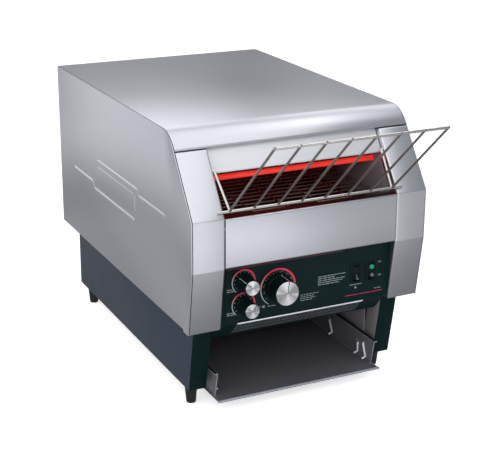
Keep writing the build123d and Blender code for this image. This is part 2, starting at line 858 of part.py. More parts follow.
def chain_outline(grow):
    """Closed line round both chain wheels, that far outside their pitch circles."""
    (my, mz), (sy, sz) = motor_place(), (drive_y, shaft_z)
    small, large = pitch_circle(motor_teeth) + grow, pitch_circle(shaft_teeth) + grow
    direction = math.degrees(math.atan2(sz - mz, sy - my))
    spread = math.degrees(math.acos((small - large) / math.hypot(sy - my, sz - mz)))
    wraps = ((my, mz, small, spread, 360 - spread), (sy, sz, large, -spread, spread))
    outline = []
    for y, z, radius, first, last in wraps:
        for k in range(chain_steps + 1):
            a = math.radians(direction + first + (last - first) * k / chain_steps)
            outline.append((y + radius * math.cos(a), z + radius * math.sin(a)))
    return outline


def drive_chain():
    """Both rows of the chain's side plates, each as one closed run."""
    ring = make_face(Plane.YZ * Polyline(*chain_outline(chain_height / 2), close=True))
    ring -= make_face(Plane.YZ * Polyline(*chain_outline(-chain_height / 2), close=True))
    inner, outer = chain_inner / 2, chain_inner / 2 + chain_plate
    return Compound([along_x(ring, chain_x + s * inner, chain_x + s * outer) for s in (-1, 1)])


def gearmotor():
    """Gearbox and motor can, on the pan's floor beside its right wall."""
    y, z = motor_place()
    wide, deep, tall = gearbox
    right, middle = half_pan - liner, gearbox_z()
    box = block(right - wide, right, y - deep / 2, y + deep / 2, middle - tall / 2, middle + tall / 2)
    can = rod_x(motor_can, right - wide - motor_length, right - wide, y, middle)
    return box + can - rod_x(output_diameter + 2 * shaft_run, right - output_depth, right + cut_clear, y, z)


def motor_sprocket():
    """Chain wheel of the gearmotor, with its stub shaft."""
    y, z = motor_place()
    start = half_pan - liner - output_depth + cut_clear
    return Pos(chain_x, y, z) * chain_wheel(motor_teeth, 0) + rod_x(output_diameter, start, shaft_tip, y, z)


def shaft_sprocket():
    """Chain wheel on the belt's rear shaft."""
    return Pos(chain_x, drive_y, shaft_z) * chain_wheel(shaft_teeth, shaft_diameter)


def idler_shaft():
    """Front shaft of the belt."""
    reach = chamber_outer + shaft_end
    return rod_x(shaft_diameter, -reach, reach, idler_y, shaft_z)


def drive_shaft():
    """Rear shaft of the belt, longer on the right for the chain wheel."""
    return rod_x(shaft_diameter, -chamber_outer - shaft_end, shaft_tip, drive_y, shaft_z)


def fan_frame():
    """Square fan housing inside the rear panel, with a hub on four arms."""
    back = body_depth - sheet
    front, thick, wide = back - fan_depth, *fan_arm
    frame = Pos(fan_x, back - fan_depth / 2, fan_z) * Box(fan_size, fan_depth, fan_size)
    frame -= rod_y(fan_bore, fan_x, front - cut_clear, back + cut_clear, fan_z)
    frame += rod_y(fan_hub, fan_x, back - fan_hub_back, back, fan_z)
    for turn in (45, 135):
        arm = Box(fan_bore + fan_wall, thick, wide)
        frame += Pos(fan_x, back - thick / 2, fan_z) * Rot(0, turn, 0) * arm
    return frame - rod_y(fan_pin, fan_x, back - fan_hub_back - cut_clear, back + cut_clear, fan_z)


def fan_rotor():
    """Hub and pitched blades, on a pin in the frame's hub."""
    back = body_depth - sheet
    middle = back - fan_depth / 2 - cut_clear
    rotor = rod_y(fan_hub, fan_x, middle - blade_width / 2, back - fan_hub_back - fit_gap, fan_z)
    pin = fan_pin - 2 * shaft_run
    rotor += rod_y(pin, fan_x, back - fan_hub_back - cut_clear, back - fit_gap, fan_z)
    root, tip = fan_hub / 2 - blade_root, fan_bore / 2 - fan_tip_gap
    flat = Pos((root + tip) / 2, 0, 0) * Rot(blade_pitch, 0, 0) * Box(tip - root, blade_width, blade_thick)
    for k in range(fan_blades):
        rotor += Pos(fan_x, middle, fan_z) * Rot(0, k * 360 / fan_blades, 0) * flat
    return rotor


def cord_bushing():
    """Round bushing in the back, where the supply cord enters."""
    front, rear = body_depth - sheet - bushing_reach, body_depth + bushing_lip
    neck = rod_y(bushing_neck, bushing_x, front, body_depth, bushing_z)
    flange = rod_y(bushing_outer, bushing_x, body_depth, rear, bushing_z)
    return neck + flange - rod_y(bushing_bore, bushing_x, front - cut_clear, rear + cut_clear, bushing_z)


# ---- base ----
def base_line(z, inset=0.0):
    """Y of the base's front at height z."""
    return base_front + inset - (z - foot_height) * math.tan(math.radians(base_slope))


def front_strip(low, high, inset0, inset1):
    """Side view outline of a strip along the base's sloping front."""
    return [
        (base_line(low, inset0), low),
        (base_line(high, inset0), high),
        (base_line(high, inset1), high),
        (base_line(low, inset1), low),
    ]


def base_side():
    """Right skin of the base. Its front edge leans back going down."""
    low, high = foot_height, base_top
    outline = [(base_line(low, sheet), low), (base_line(high, sheet), high)]
    return prism(outline + [(base_rear, high), (base_rear, low)], base_inner, half_base)


def front_post():
    """Right front post: a sheet across the corner, returned along the tray's opening."""
    low, high = foot_height, side_bottom - fit_gap
    face = prism(front_strip(low, high, 0, sheet), post_inner, half_base)
    return face + prism(front_strip(low, high, 0, post_return), post_inner, post_inner + sheet)


def frame_rail():
    """Right rail of the base: an upright web beside the tray with flanges towards the skin."""
    front, rear = base_line(foot_height, post_return + fit_gap), base_rear - sheet - fit_gap
    low, top = foot_height, pan_bottom - fit_gap
    outer = base_inner - fit_gap
    rail = block(rail_web, rail_outer, front, rear, low, top)
    rail += block(rail_web, outer, front, rear, low, low + liner)
    return rail + block(rail_web, outer, front, rear, top - liner, top)


def base_rear_panel():
    """Back of the base."""
    half = base_inner - fit_gap
    return block(-half, half, base_rear - sheet, base_rear, foot_height, base_top)


def base_floor():
    """Plate under the chute, between the rails."""
    half = rail_web - fit_gap
    front, rear = tray_front + tray_length + fit_gap, base_rear - sheet - fit_gap
    return block(-half, half, front, rear, foot_height, foot_height + liner)


def feet():
    """Four tapered feet."""
    low, high = RegularPolygon(foot_bottom / 2, foot_sides), RegularPolygon(foot_top / 2, foot_sides)
    foot = loft([low, Pos(0, 0, foot_height) * high])
    x = half_base - foot_inset
    return Compound([Pos(side * x, y, 0) * foot for side in (-1, 1) for y in (front_foot, rear_foot)])


def intake_grille():
    """Air intake under the controls: a hemmed, slotted slope that runs into the ceiling over the tray."""
    top, low = grille_top, grille_low
    half = rail_web - fit_gap
    path = ((top[0], panel_bottom - fit_gap), top, low, (chute_back - ceiling_inset, low[1]))
    plate = folded(path, liner, -half, half, radius=None)
    plate += wire((-grille_half, *top), (grille_half, *top), grille_lip)
    run = math.hypot(low[0] - top[0], low[1] - top[1])
    step = 2 * grille_half / grille_columns
    slots = Sketch()
    for row in range(grille_rows):
        for column in range(grille_columns):
            x = (column - (grille_columns - 1) / 2) * step
            down = run * (grille_first + grille_step * row)
            slots += Pos(x, -down) * Rot(0, 0, -grille_turn) * Rectangle(*grille_slot)
    normal = (0, (low[1] - top[1]) / run, (top[0] - low[0]) / run)
    plane = Plane(origin=(0, *top), x_dir=(1, 0, 0), z_dir=normal)
    return plate - extrude(plane * slots, liner + cut_clear, both=True)


def chute():
    """Curved sheet behind the belt that turns the toast forward into the tray."""
    half = rail_web - fit_gap
    low_y = tray_front + tray_length + chute_lap
    corner_z = chute_low + (chute_back - low_y) * math.tan(math.radians(chute_slope))
    path = ((chute_back, shaft_z + chute_rise), (chute_back, corner_z), (low_y, chute_low))
    return folded(path, liner, -half, half, side=Side.LEFT, radius=chute_radius)


def collector_tray():
    """Sliding tray: a hemmed floor and two slotted side walls with flanges that ride on the runners."""
    rear = tray_front + tray_length
    floor = block(-tray_half, tray_half, tray_front, rear, tray_bottom, tray_bottom + liner)
    hem_y, hem_z = tray_front + tray_hem / 2, tray_bottom + tray_hem / 2
    floor += wire((-tray_half, hem_y, hem_z), (tray_half, hem_y, hem_z), tray_hem)
    front, foot = tray_wall_front, tray_wall_front + tray_wall_rake
    outline = [(foot, tray_bottom), (front, tray_top), (rear, tray_top), (rear, tray_bottom)]
    wall = prism(outline, tray_wall, tray_wall + liner)
    wall += block(tray_wall, tray_wall + tray_flange, front, rear, tray_top - liner, tray_top)
    start, end = tray_wall - cut_clear, tray_wall + liner + cut_clear
    top, low = tray_top - slot_top, tray_top - slot_foot
    for high_y, low_y in tray_slots:
        head = [(high_y, top), (high_y + slot_width, top)]
        tail = [(low_y + slot_width, low), (low_y, low)]
        wall -= prism(head + tail, start, end)
    lip = block(-tray_wall, tray_wall, rear - liner, rear, tray_bottom, chute_low - 2 * fit_gap)
    return floor + lip + wall + mirrored(wall)


def tray_runners():
    """Ledges on the rails that carry the tray's flanges."""
    top = tray_top - liner - fit_gap
    front, rear = base_line(foot_height, post_return + fit_gap), tray_front + tray_length
    ledge = block(rail_web, rail_web - runner_ledge, front, rear, top - liner, top)
    runner = ledge + block(rail_web, rail_web - liner, front, rear, top - runner_height, top)
    return Compound([runner, mirrored(runner)])


# ---- all the pieces ----
def build_hood():
    """Covers, window and rack."""
    add_pair("side_panel", side_panel())
    add("top_cover", top_cover())
    add("rear_panel", rear_panel())
    add_pair("bezel", bezel())
    add("front_panel", front_panel())
    add("throat_baffle", throat_baffle())
    add("feed_rack", feed_rack())
    add("cord_bushing", cord_bushing())


def build_controls():
    """Panel, knobs and switches."""
    add("control_panel", control_panel())
    add("panel_label", panel_label())
    add("heat_controls", Compound([control_body(heat_x, z, heat_control_size) for z in heat_z]))
    add("speed_control", control_body(speed_x, speed_z, speed_control_size))
    for name, x, z, size, skirt in (
        ("top_heat_knob", heat_x, heat_z[0], heat_knob, heat_skirt),
        ("bottom_heat_knob", heat_x, heat_z[1], heat_knob, heat_skirt),
        ("speed_knob", speed_x, speed_z, speed_knob, speed_skirt),
    ):
        add(name, knob(x, z, size, skirt))
        add(name + "_cap", knob_cap(x, z, size))
    add("mode_switch_housing", switch_housing(mode_switch_x))
    add("mode_rocker", rocker(mode_switch_x))
    add("power_switch_housing", switch_housing(power_switch_x))
    seat = lamp_seat(lamp_diameter + shaft_run, lamp_depth + shaft_run)
    add("power_rocker", rocker(power_switch_x) - seat)
    add("power_lamp_lens", lamp_seat(lamp_diameter, lamp_depth))


def build_chamber():
    """Heating tubes and the sheets round them."""
    upper, lower = heater_places()
    add_pair("chamber_plate", chamber_plate())
    add("top_heaters", heaters(upper))
    add("bottom_heaters", heaters(lower))
    add("heater_insulators", insulators())
    front, rear = first_heater - reflector_margin, chute_back - 2 * reflector_margin
    add("top_reflector", reflector(front, rear, reflector_z))
    loop = rod_radius + reflector_clear
    low = shaft_z - bottom_reflector_drop
    add("bottom_reflector", reflector(idler_y + loop, drive_y - loop, low))
    add("deck_plate", deck())
    add("electrics_pan", electrics_pan())
    add("terminal_block", terminal_block())


def build_conveyor():
    """Belt, its drive and the cooling fan."""
    add("idler_shaft", idler_shaft())
    add("drive_shaft", drive_shaft())
    add("drive_sprockets", belt_sprockets(drive_y))
    add("idler_sprockets", belt_sprockets(idler_y))
    add("shaft_bearings", bearings())
    add("conveyor_belt", conveyor_belt())
    add("gearmotor", gearmotor())
    add("motor_sprocket", motor_sprocket())
    add("shaft_sprocket", shaft_sprocket())
    add("drive_chain", drive_chain())
    add("fan_frame", fan_frame())
    add("fan_rotor", fan_rotor())


def build_base():
    """Base, chute and tray."""
    add_pair("base_side", base_side())
    add_pair("front_post", front_post())
    add_pair("frame_rail", frame_rail())
    add("base_rear_panel", base_rear_panel())
    add("base_floor", base_floor())
    add("feet", feet())
    add("intake_grille", intake_grille())
    add("chute", chute())
    add("collector_tray", collector_tray())
    add("tray_runners", tray_runners())


build_hood()
build_controls()
build_chamber()
build_conveyor()
build_base()

os.makedirs("parts", exist_ok=True)
for name, shape in pieces.items():
    export_step(shape, f"parts/{name}.step")
print(len(pieces), "pieces, origin", round(origin_y, 3), "mm behind the front")
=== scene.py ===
import math

import bmesh
import bpy
from mathutils import Matrix, Vector


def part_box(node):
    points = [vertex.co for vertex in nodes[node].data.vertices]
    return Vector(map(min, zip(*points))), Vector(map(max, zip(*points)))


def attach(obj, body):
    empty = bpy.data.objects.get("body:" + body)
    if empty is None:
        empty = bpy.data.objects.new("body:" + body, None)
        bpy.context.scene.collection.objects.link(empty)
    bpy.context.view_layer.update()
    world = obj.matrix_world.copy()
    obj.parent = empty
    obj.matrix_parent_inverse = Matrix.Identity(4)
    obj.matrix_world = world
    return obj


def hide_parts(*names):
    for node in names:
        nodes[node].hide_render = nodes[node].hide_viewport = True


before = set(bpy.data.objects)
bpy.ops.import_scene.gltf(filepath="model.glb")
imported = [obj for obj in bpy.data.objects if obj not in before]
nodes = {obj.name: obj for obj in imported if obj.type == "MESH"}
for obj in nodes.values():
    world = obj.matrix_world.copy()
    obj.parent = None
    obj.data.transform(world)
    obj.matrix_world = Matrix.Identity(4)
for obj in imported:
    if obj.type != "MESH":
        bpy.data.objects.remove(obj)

scene = bpy.context.scene
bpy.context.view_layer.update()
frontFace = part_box("front_panel")[0].y  # the upright part of the front
mm = 0.001
sideName = {-1: "left", 1: "right"}
print("frame loaded:", len(nodes), "nodes")


def spot(x, back, up):
    # a place in mm: right of the middle, back from the upright front, up from the floor
    return Vector((x * mm, frontFace + back * mm, up * mm))


def shown(name, data):
    obj = bpy.data.objects.new(name, data)
    scene.collection.objects.link(obj)
    return obj


# small words for building node trees

def feed(tree, value, socket):
    # another node's output is linked, a plain value is set
    if isinstance(value, bpy.types.NodeSocket):
        tree.links.new(value, socket)
    else:
        socket.default_value = (*value, 1) if socket.type == "RGBA" else value


def feedAll(tree, sockets, **values):
    for key, value in values.items():
        feed(tree, value, sockets[key.replace("_", " ")])


def addNode(tree, kind, *inOrder, **settings):
    # a node with its properties and inputs set by name, or its inputs in their order
    node = tree.nodes.new(kind)
    for key, value in settings.items():
        if hasattr(node, key):
            setattr(node, key, value)
        else:
            feedAll(tree, node.inputs, **{key: value})
    for value, socket in zip(inOrder, node.inputs):
        feed(tree, value, socket)
    return node


def newGroup(name, inputs, outputs, kind="Shader"):
    # a tree of its own with named sockets: {label: (type, value)} in, {label: type} out
    tree = bpy.data.node_groups.new(name, kind + "NodeTree")
    for label, (socket, value) in inputs.items():
        made = tree.interface.new_socket(label, in_out="INPUT", socket_type="NodeSocket" + socket)
        if value is not None:
            made.default_value = value
    for label, socket in outputs.items():
        tree.interface.new_socket(label, in_out="OUTPUT", socket_type="NodeSocket" + socket)
    return tree, tree.nodes.new("NodeGroupInput").outputs, tree.nodes.new("NodeGroupOutput").inputs


def useGroup(tree, group, **values):
    return addNode(tree, "ShaderNodeGroup", node_tree=group, **values).outputs


def maths(tree, operation, *values):
    return addNode(tree, "ShaderNodeMath", *values, operation=operation).outputs[0]


def times(tree, first, second):
    return maths(tree, "MULTIPLY", first, second)


def mixColour(tree, factor, first, second, **settings):
    node = addNode(tree, "ShaderNodeMix", data_type="RGBA", **settings)
    for place, value in ((0, factor), (6, first), (7, second)):
        feed(tree, value, node.inputs[place])
    return node.outputs[2]


def spread(tree, value, low, high):
    # a 0 to 1 value carried to low to high
    return addNode(tree, "ShaderNodeMapRange", Value=value, To_Min=low, To_Max=high).outputs[0]


def objectPlace(tree):
    return addNode(tree, "ShaderNodeTexCoord").outputs["Object"]


def noise(tree, vector, scale, detail, roughness):
    return addNode(tree, "ShaderNodeTexNoise", Vector=vector, Scale=scale, Detail=detail,
                   Roughness=roughness).outputs[0]


def bump(tree, height, distance, **normal):
    return addNode(tree, "ShaderNodeBump", Strength=1.0, Distance=distance, Height=height,
                   **normal).outputs[0]


def makeGrainGroup():
    # long polishing lines, with slower clouds where hands and cloths have been
    tree, start, end = newGroup(
        "polishingLines", {"Stretch": ("Vector", (900, 12, 900)), "Cloud Scale": ("Float", 7.0)},
        {"Grain": "Float", "Clouds": "Float"})
    place = objectPlace(tree)
    drawn = addNode(tree, "ShaderNodeMapping", Vector=place, Scale=start["Stretch"]).outputs[0]
    feedAll(tree, end, Grain=noise(tree, drawn, 1.0, 5.0, 0.7),
            Clouds=noise(tree, place, start["Cloud Scale"], 4.0, 0.6))
    return tree


def makeEdgeRubGlintGroup():
    # rounded edges, and a mask along them: rubbed wear, and on polished steel a painted edge highlight as
    # well
    tree, start, end = newGroup(
        "rubbedEdgesAndGlint", {"Radius": ("Float", 0.0006), "Amount": ("Float", 1.0)},
        {"Rubbed": "Float", "Normal": "Vector"})
    soft = addNode(tree, "ShaderNodeBevel", samples=4, Radius=start["Radius"]).outputs[0]
    flat = addNode(tree, "ShaderNodeNewGeometry").outputs["Normal"]
    dot = addNode(tree, "ShaderNodeVectorMath", soft, flat, operation="DOT_PRODUCT").outputs["Value"]
    bend = times(tree, maths(tree, "SUBTRACT", 1.0, dot), 7.0)
    patchy = spread(tree, noise(tree, objectPlace(tree), 140.0, 4.0, 0.55), 0.3, 1.4)
    mask = times(tree, times(tree, bend, patchy), start["Amount"])
    feedAll(tree, end, Rubbed=maths(tree, "MINIMUM", mask, 1.0), Normal=soft)
    return tree


def makeSkinGroup():
    # the slightly pebbled skin of sprayed paint and moulded plastic
    tree, start, end = newGroup(
        "paintSkin", {"Pebble Scale": ("Float", 900.0), "Mottle Scale": ("Float", 30.0)},
        {"Pebbles": "Float", "Mottle": "Float"})
    place = objectPlace(tree)
    for scale, out in (("Pebble Scale", "Pebbles"), ("Mottle Scale", "Mottle")):
        feed(tree, noise(tree, place, start[scale], 3.0, 0.5), end[out])
    return tree


grainGroup, edgeRubGlintGroup, skinGroup = makeGrainGroup(), makeEdgeRubGlintGroup(), makeSkinGroup()


def newMaterial(name):
    material = bpy.data.materials.new(name)
    material.use_nodes = True
    return material, material.node_tree, material.node_tree.nodes["Principled BSDF"].inputs


def sheetMetal(name, look):
    # polished or brushed sheet: grain lines, clouds of handling, edges lightened as wear and painted
    # highlight, and painted shade from a depth on
    material, tree, shader = newMaterial(name)
    grain = useGroup(tree, grainGroup, Stretch=look["stretch"], Cloud_Scale=look["clouds"])
    edgeRubGlint = useGroup(tree, edgeRubGlintGroup, Radius=look["edge"] * mm, Amount=look["rub"])
    body = mixColour(tree, grain["Grain"], look["dark"], look["light"])
    hazy = mixColour(tree, spread(tree, grain["Clouds"], 0.0, look["haze"]), body, look["hazeColour"])
    # painted highlight with wear: the edge mask lightens the steel towards its pale edge colour
    final = mixColour(tree, edgeRubGlint["Rubbed"], hazy, look["edgeGlint"])
    # painted shade: whatever lies more than a set depth behind the front face is darkened to a dark
    # green-black
    if "paintedShade" in look:
        start, end, colour = look["paintedShade"]
        depth = addNode(tree, "ShaderNodeSeparateXYZ", objectPlace(tree)).outputs["Y"]
        behind = addNode(tree, "ShaderNodeMapRange", Value=depth, From_Min=frontFace + start * mm,
                         From_Max=frontFace + end * mm).outputs[0]
        final = mixColour(tree, behind, final, colour)
    uneven = maths(tree, "MULTIPLY_ADD", grain["Grain"], 0.5, times(tree, grain["Clouds"], 0.5))
    feedAll(tree, shader, Base_Color=final, Metallic=look["metallic"],
            Roughness=spread(tree, uneven, *look["rough"]),
            Normal=bump(tree, grain["Grain"], look["bump"] * mm, Normal=edgeRubGlint["Normal"]))
    return material


def sprayed(name, look):
    # paint or moulded plastic: pebbled skin, slight mottling and paler rubbed edges
    material, tree, shader = newMaterial(name)
    skin = useGroup(tree, skinGroup, Pebble_Scale=look["pebbles"], Mottle_Scale=look["mottle"])
    edgeRubGlint = useGroup(tree, edgeRubGlintGroup, Radius=look["edge"] * mm, Amount=look["rub"])
    body = mixColour(tree, skin["Mottle"], look["dark"], look["light"])
    feedAll(tree, shader, Base_Color=mixColour(tree, edgeRubGlint["Rubbed"], body, look["bare"]),
            Roughness=spread(tree, skin["Mottle"], *look["rough"]), Metallic=look.get("metallic", 0.0),
            Specular_IOR_Level=look.get("shine", 0.25),
            Normal=bump(tree, skin["Pebbles"], look["bump"] * mm, Normal=edgeRubGlint["Normal"]))
    return material


def glowing(name, look):
    # lit from within: a heating tube, darker where its clouds fall, or the lens of a lamp
    material, tree, shader = newMaterial(name)
    skin = useGroup(tree, skinGroup, Pebble_Scale=look["pebbles"], Mottle_Scale=look["mottle"])
    feedAll(tree, shader, Base_Color=mixColour(tree, skin["Mottle"], look["dark"], look["light"]),
            Roughness=spread(tree, skin["Mottle"], *look["rough"]), Specular_IOR_Level=look["shine"],
            Emission_Color=mixColour(tree, skin["Mottle"], look["ember"], look["hot"]),
            Emission_Strength=look["power"], Normal=bump(tree, skin["Pebbles"], look["bump"] * mm))
    return material


def printed(name, look):
    # screen printing: the colour comes from the print itself, a little uneven
    material, tree, shader = newMaterial(name)
    ink = addNode(tree, "ShaderNodeAttribute", attribute_name="ink").outputs["Color"]
    skin = useGroup(tree, skinGroup, Pebble_Scale=look["pebbles"], Mottle_Scale=look["mottle"])
    feedAll(tree, shader, Roughness=spread(tree, skin["Mottle"], *look["rough"]),
            Base_Color=mixColour(tree, look["faded"], ink, skin["Mottle"], blend_type="MULTIPLY"),
            Normal=bump(tree, skin["Pebbles"], look["bump"] * mm))
    return material


def turnedMetal(name, look):
    # rings left by a turning tool, and rays of reflected light painted into the colour, round the middle of
    # the knob cap of that name
    material, tree, shader = newMaterial(name)
    low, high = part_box(name)
    centre = (low + high) / 2
    fromAxis = addNode(tree, "ShaderNodeMapping", Vector=objectPlace(tree),
                       Location=(-centre[0], 0, -centre[2])).outputs[0]
    apart = addNode(tree, "ShaderNodeSeparateXYZ", fromAxis).outputs
    square = maths(tree, "ADD", times(tree, apart["X"], apart["X"]), times(tree, apart["Z"], apart["Z"]))
    radius = maths(tree, "SQRT", square)
    rings = maths(tree, "SINE", times(tree, radius, 2 * math.pi / (look["pitch"] * mm)))
    ringNoise = addNode(tree, "ShaderNodeTexNoise", noise_dimensions="1D", W=radius, Scale=3000.0, Detail=3.0)
    height = maths(tree, "ADD", times(tree, rings, 0.5), ringNoise.outputs[0])
    clouds = useGroup(tree, grainGroup, Stretch=(200, 200, 200), Cloud_Scale=60.0)["Clouds"]
    rays = times(tree, clouds, 0.25)
    # painted reflection: each ray is a bright wedge fixed in the colour
    for turn, sharp, weight in look["rays"]:
        a = math.radians(turn)
        across = maths(tree, "ADD", times(tree, apart["X"], math.sin(a)),
                       times(tree, apart["Z"], math.cos(a)))
        share = maths(tree, "ABSOLUTE", maths(tree, "DIVIDE", across, maths(tree, "ADD", radius, 0.0001)))
        rays = maths(tree, "ADD", rays, times(tree, maths(tree, "POWER", share, sharp), weight))
    feedAll(tree, shader,
            Base_Color=mixColour(tree, maths(tree, "MINIMUM", rays, 1.0), look["dark"], look["light"]),
            Roughness=spread(tree, clouds, *look["rough"]), Metallic=1.0,
            Normal=bump(tree, height, look["deep"] * mm))
    return material


# how the grain is stretched: along the depth, across the front, or even on wire
alongDepth, acrossFront, onWire = (700, 14, 700), (14, 700, 700), (260, 260, 260)

# edgeGlint is the pale colour of edges, painted highlight as well as rubbed wear
plainSteel = {"stretch": acrossFront, "edge": 0.3, "rub": 0.3, "haze": 0.10, "edgeGlint": (0.97, 0.98, 1.0),
              "metallic": 1.0, "bump": 0.004}
frontSteel = {"clouds": 6.0, "edge": 0.7, "rub": 0.7, "dark": (0.60, 0.61, 0.64), "light": (0.70, 0.71, 0.74),
              "hazeColour": (0.52, 0.54, 0.60), "rough": (0.28, 0.42)}
metals = {
    "hoodSteel": {
        "stretch": alongDepth, "clouds": 5.0, "edge": 0.7, "rub": 0.7, "haze": 0.12,
        "dark": (0.56, 0.57, 0.60), "light": (0.66, 0.67, 0.70), "edgeGlint": (0.95, 0.96, 0.98),
        "hazeColour": (0.48, 0.50, 0.56), "rough": (0.26, 0.40)},
    # the beads are the side's own steel, coloured lighter as painted highlight
    "litBeadSteel": {
        "stretch": alongDepth, "clouds": 5.0, "edge": 0.7, "rub": 1.0, "haze": 0.08,
        "dark": (0.76, 0.77, 0.80), "light": (0.86, 0.87, 0.90), "edgeGlint": (0.98, 0.98, 1.0),
        "hazeColour": (0.62, 0.64, 0.68), "rough": (0.26, 0.36)},
    "frontSteel": frontSteel,
    # the front panel's folds behind its face get painted shade
    "panelSteel": {**frontSteel, "paintedShade": (1.7, 3.2, (0.016, 0.026, 0.024))},  # from and to in mm, colour
    "baffleSteel": {
        "clouds": 8.0, "edge": 0.5, "rub": 0.5, "dark": (0.52, 0.53, 0.55), "light": (0.60, 0.61, 0.63),
        "hazeColour": (0.44, 0.45, 0.48), "rough": (0.36, 0.50), "metallic": 0.45},
    # stainless inside the machine, coloured dark grey-brown as painted shade
    "shadedLinerSteel": {
        "stretch": alongDepth, "clouds": 9.0, "edge": 0.5, "rub": 0.8, "haze": 0.35,
        "dark": (0.18, 0.17, 0.185), "light": (0.26, 0.25, 0.27), "edgeGlint": (0.62, 0.63, 0.66),
        "hazeColour": (0.17, 0.14, 0.14), "rough": (0.40, 0.56), "metallic": 0.35, "bump": 0.006},
    # near-black green steel for the bottom reflector: painted shade deep inside
    "shadedDarkSteel": {
        "stretch": alongDepth, "clouds": 14.0, "edge": 0.5, "rub": 0.4, "haze": 0.6,
        "dark": (0.012, 0.016, 0.016), "light": (0.030, 0.036, 0.036), "edgeGlint": (0.20, 0.20, 0.20),
        "hazeColour": (0.035, 0.020, 0.012), "rough": (0.38, 0.56), "metallic": 0.3, "bump": 0.008},
    # the steel pan coloured dark blue-grey as painted shade, with strongly lightened edges as painted
    # highlight
    "shadedTraySteel": {
        "stretch": alongDepth, "clouds": 11.0, "edge": 0.6, "rub": 1.0, "haze": 0.40,
        "dark": (0.10, 0.105, 0.125), "light": (0.155, 0.16, 0.185), "edgeGlint": (0.85, 0.87, 0.93),
        "hazeColour": (0.12, 0.095, 0.095), "rough": (0.34, 0.50), "metallic": 0.30, "bump": 0.006},
    "rackSteel": {
        "stretch": onWire, "clouds": 30.0, "haze": 0.5, "dark": (0.24, 0.21, 0.20),
        "light": (0.34, 0.31, 0.30), "edgeGlint": (0.7, 0.7, 0.7), "hazeColour": (0.15, 0.12, 0.11),
        "rough": (0.26, 0.40), "metallic": 0.9, "bump": 0.01},
    "rackWire": {
        "stretch": onWire, "clouds": 30.0, "haze": 0.30, "dark": (0.62, 0.60, 0.58),
        "light": (0.76, 0.74, 0.72), "edgeGlint": (0.95, 0.95, 0.95), "hazeColour": (0.40, 0.36, 0.33),
        "rough": (0.20, 0.34), "bump": 0.01},
    "beltWire": {
        "stretch": (300, 300, 300), "clouds": 40.0, "rub": 0.2, "haze": 0.6, "dark": (0.16, 0.14, 0.13),
        "light": (0.26, 0.23, 0.21), "edgeGlint": (0.5, 0.5, 0.5), "hazeColour": (0.12, 0.08, 0.06),
        "rough": (0.30, 0.45), "metallic": 0.9, "bump": 0.01},
    "machinedSteel": {
        "stretch": (40, 900, 900), "clouds": 25.0, "rub": 0.4, "haze": 0.2, "dark": (0.45, 0.45, 0.46),
        "light": (0.60, 0.60, 0.61), "edgeGlint": (0.85, 0.85, 0.86), "hazeColour": (0.35, 0.33, 0.31),
        "rough": (0.28, 0.42), "bump": 0.006},
    # pale bluish white: a painted highlight, on the intake lip and the tray's wires
    "glintTrim": {
        "clouds": 20.0, "dark": (0.78, 0.79, 0.88), "light": (0.88, 0.89, 0.97),
        "hazeColour": (0.66, 0.68, 0.76), "rough": (0.30, 0.42), "metallic": 0.3},
    # lighter bluish copy of the tray's steel for its hem: painted highlight
    "glintHemSteel": {
        "clouds": 20.0, "haze": 0.2, "dark": (0.24, 0.25, 0.32), "light": (0.34, 0.35, 0.43),
        "edgeGlint": (0.8, 0.82, 0.88), "hazeColour": (0.2, 0.2, 0.24), "rough": (0.30, 0.42), "metallic": 0.4},
}
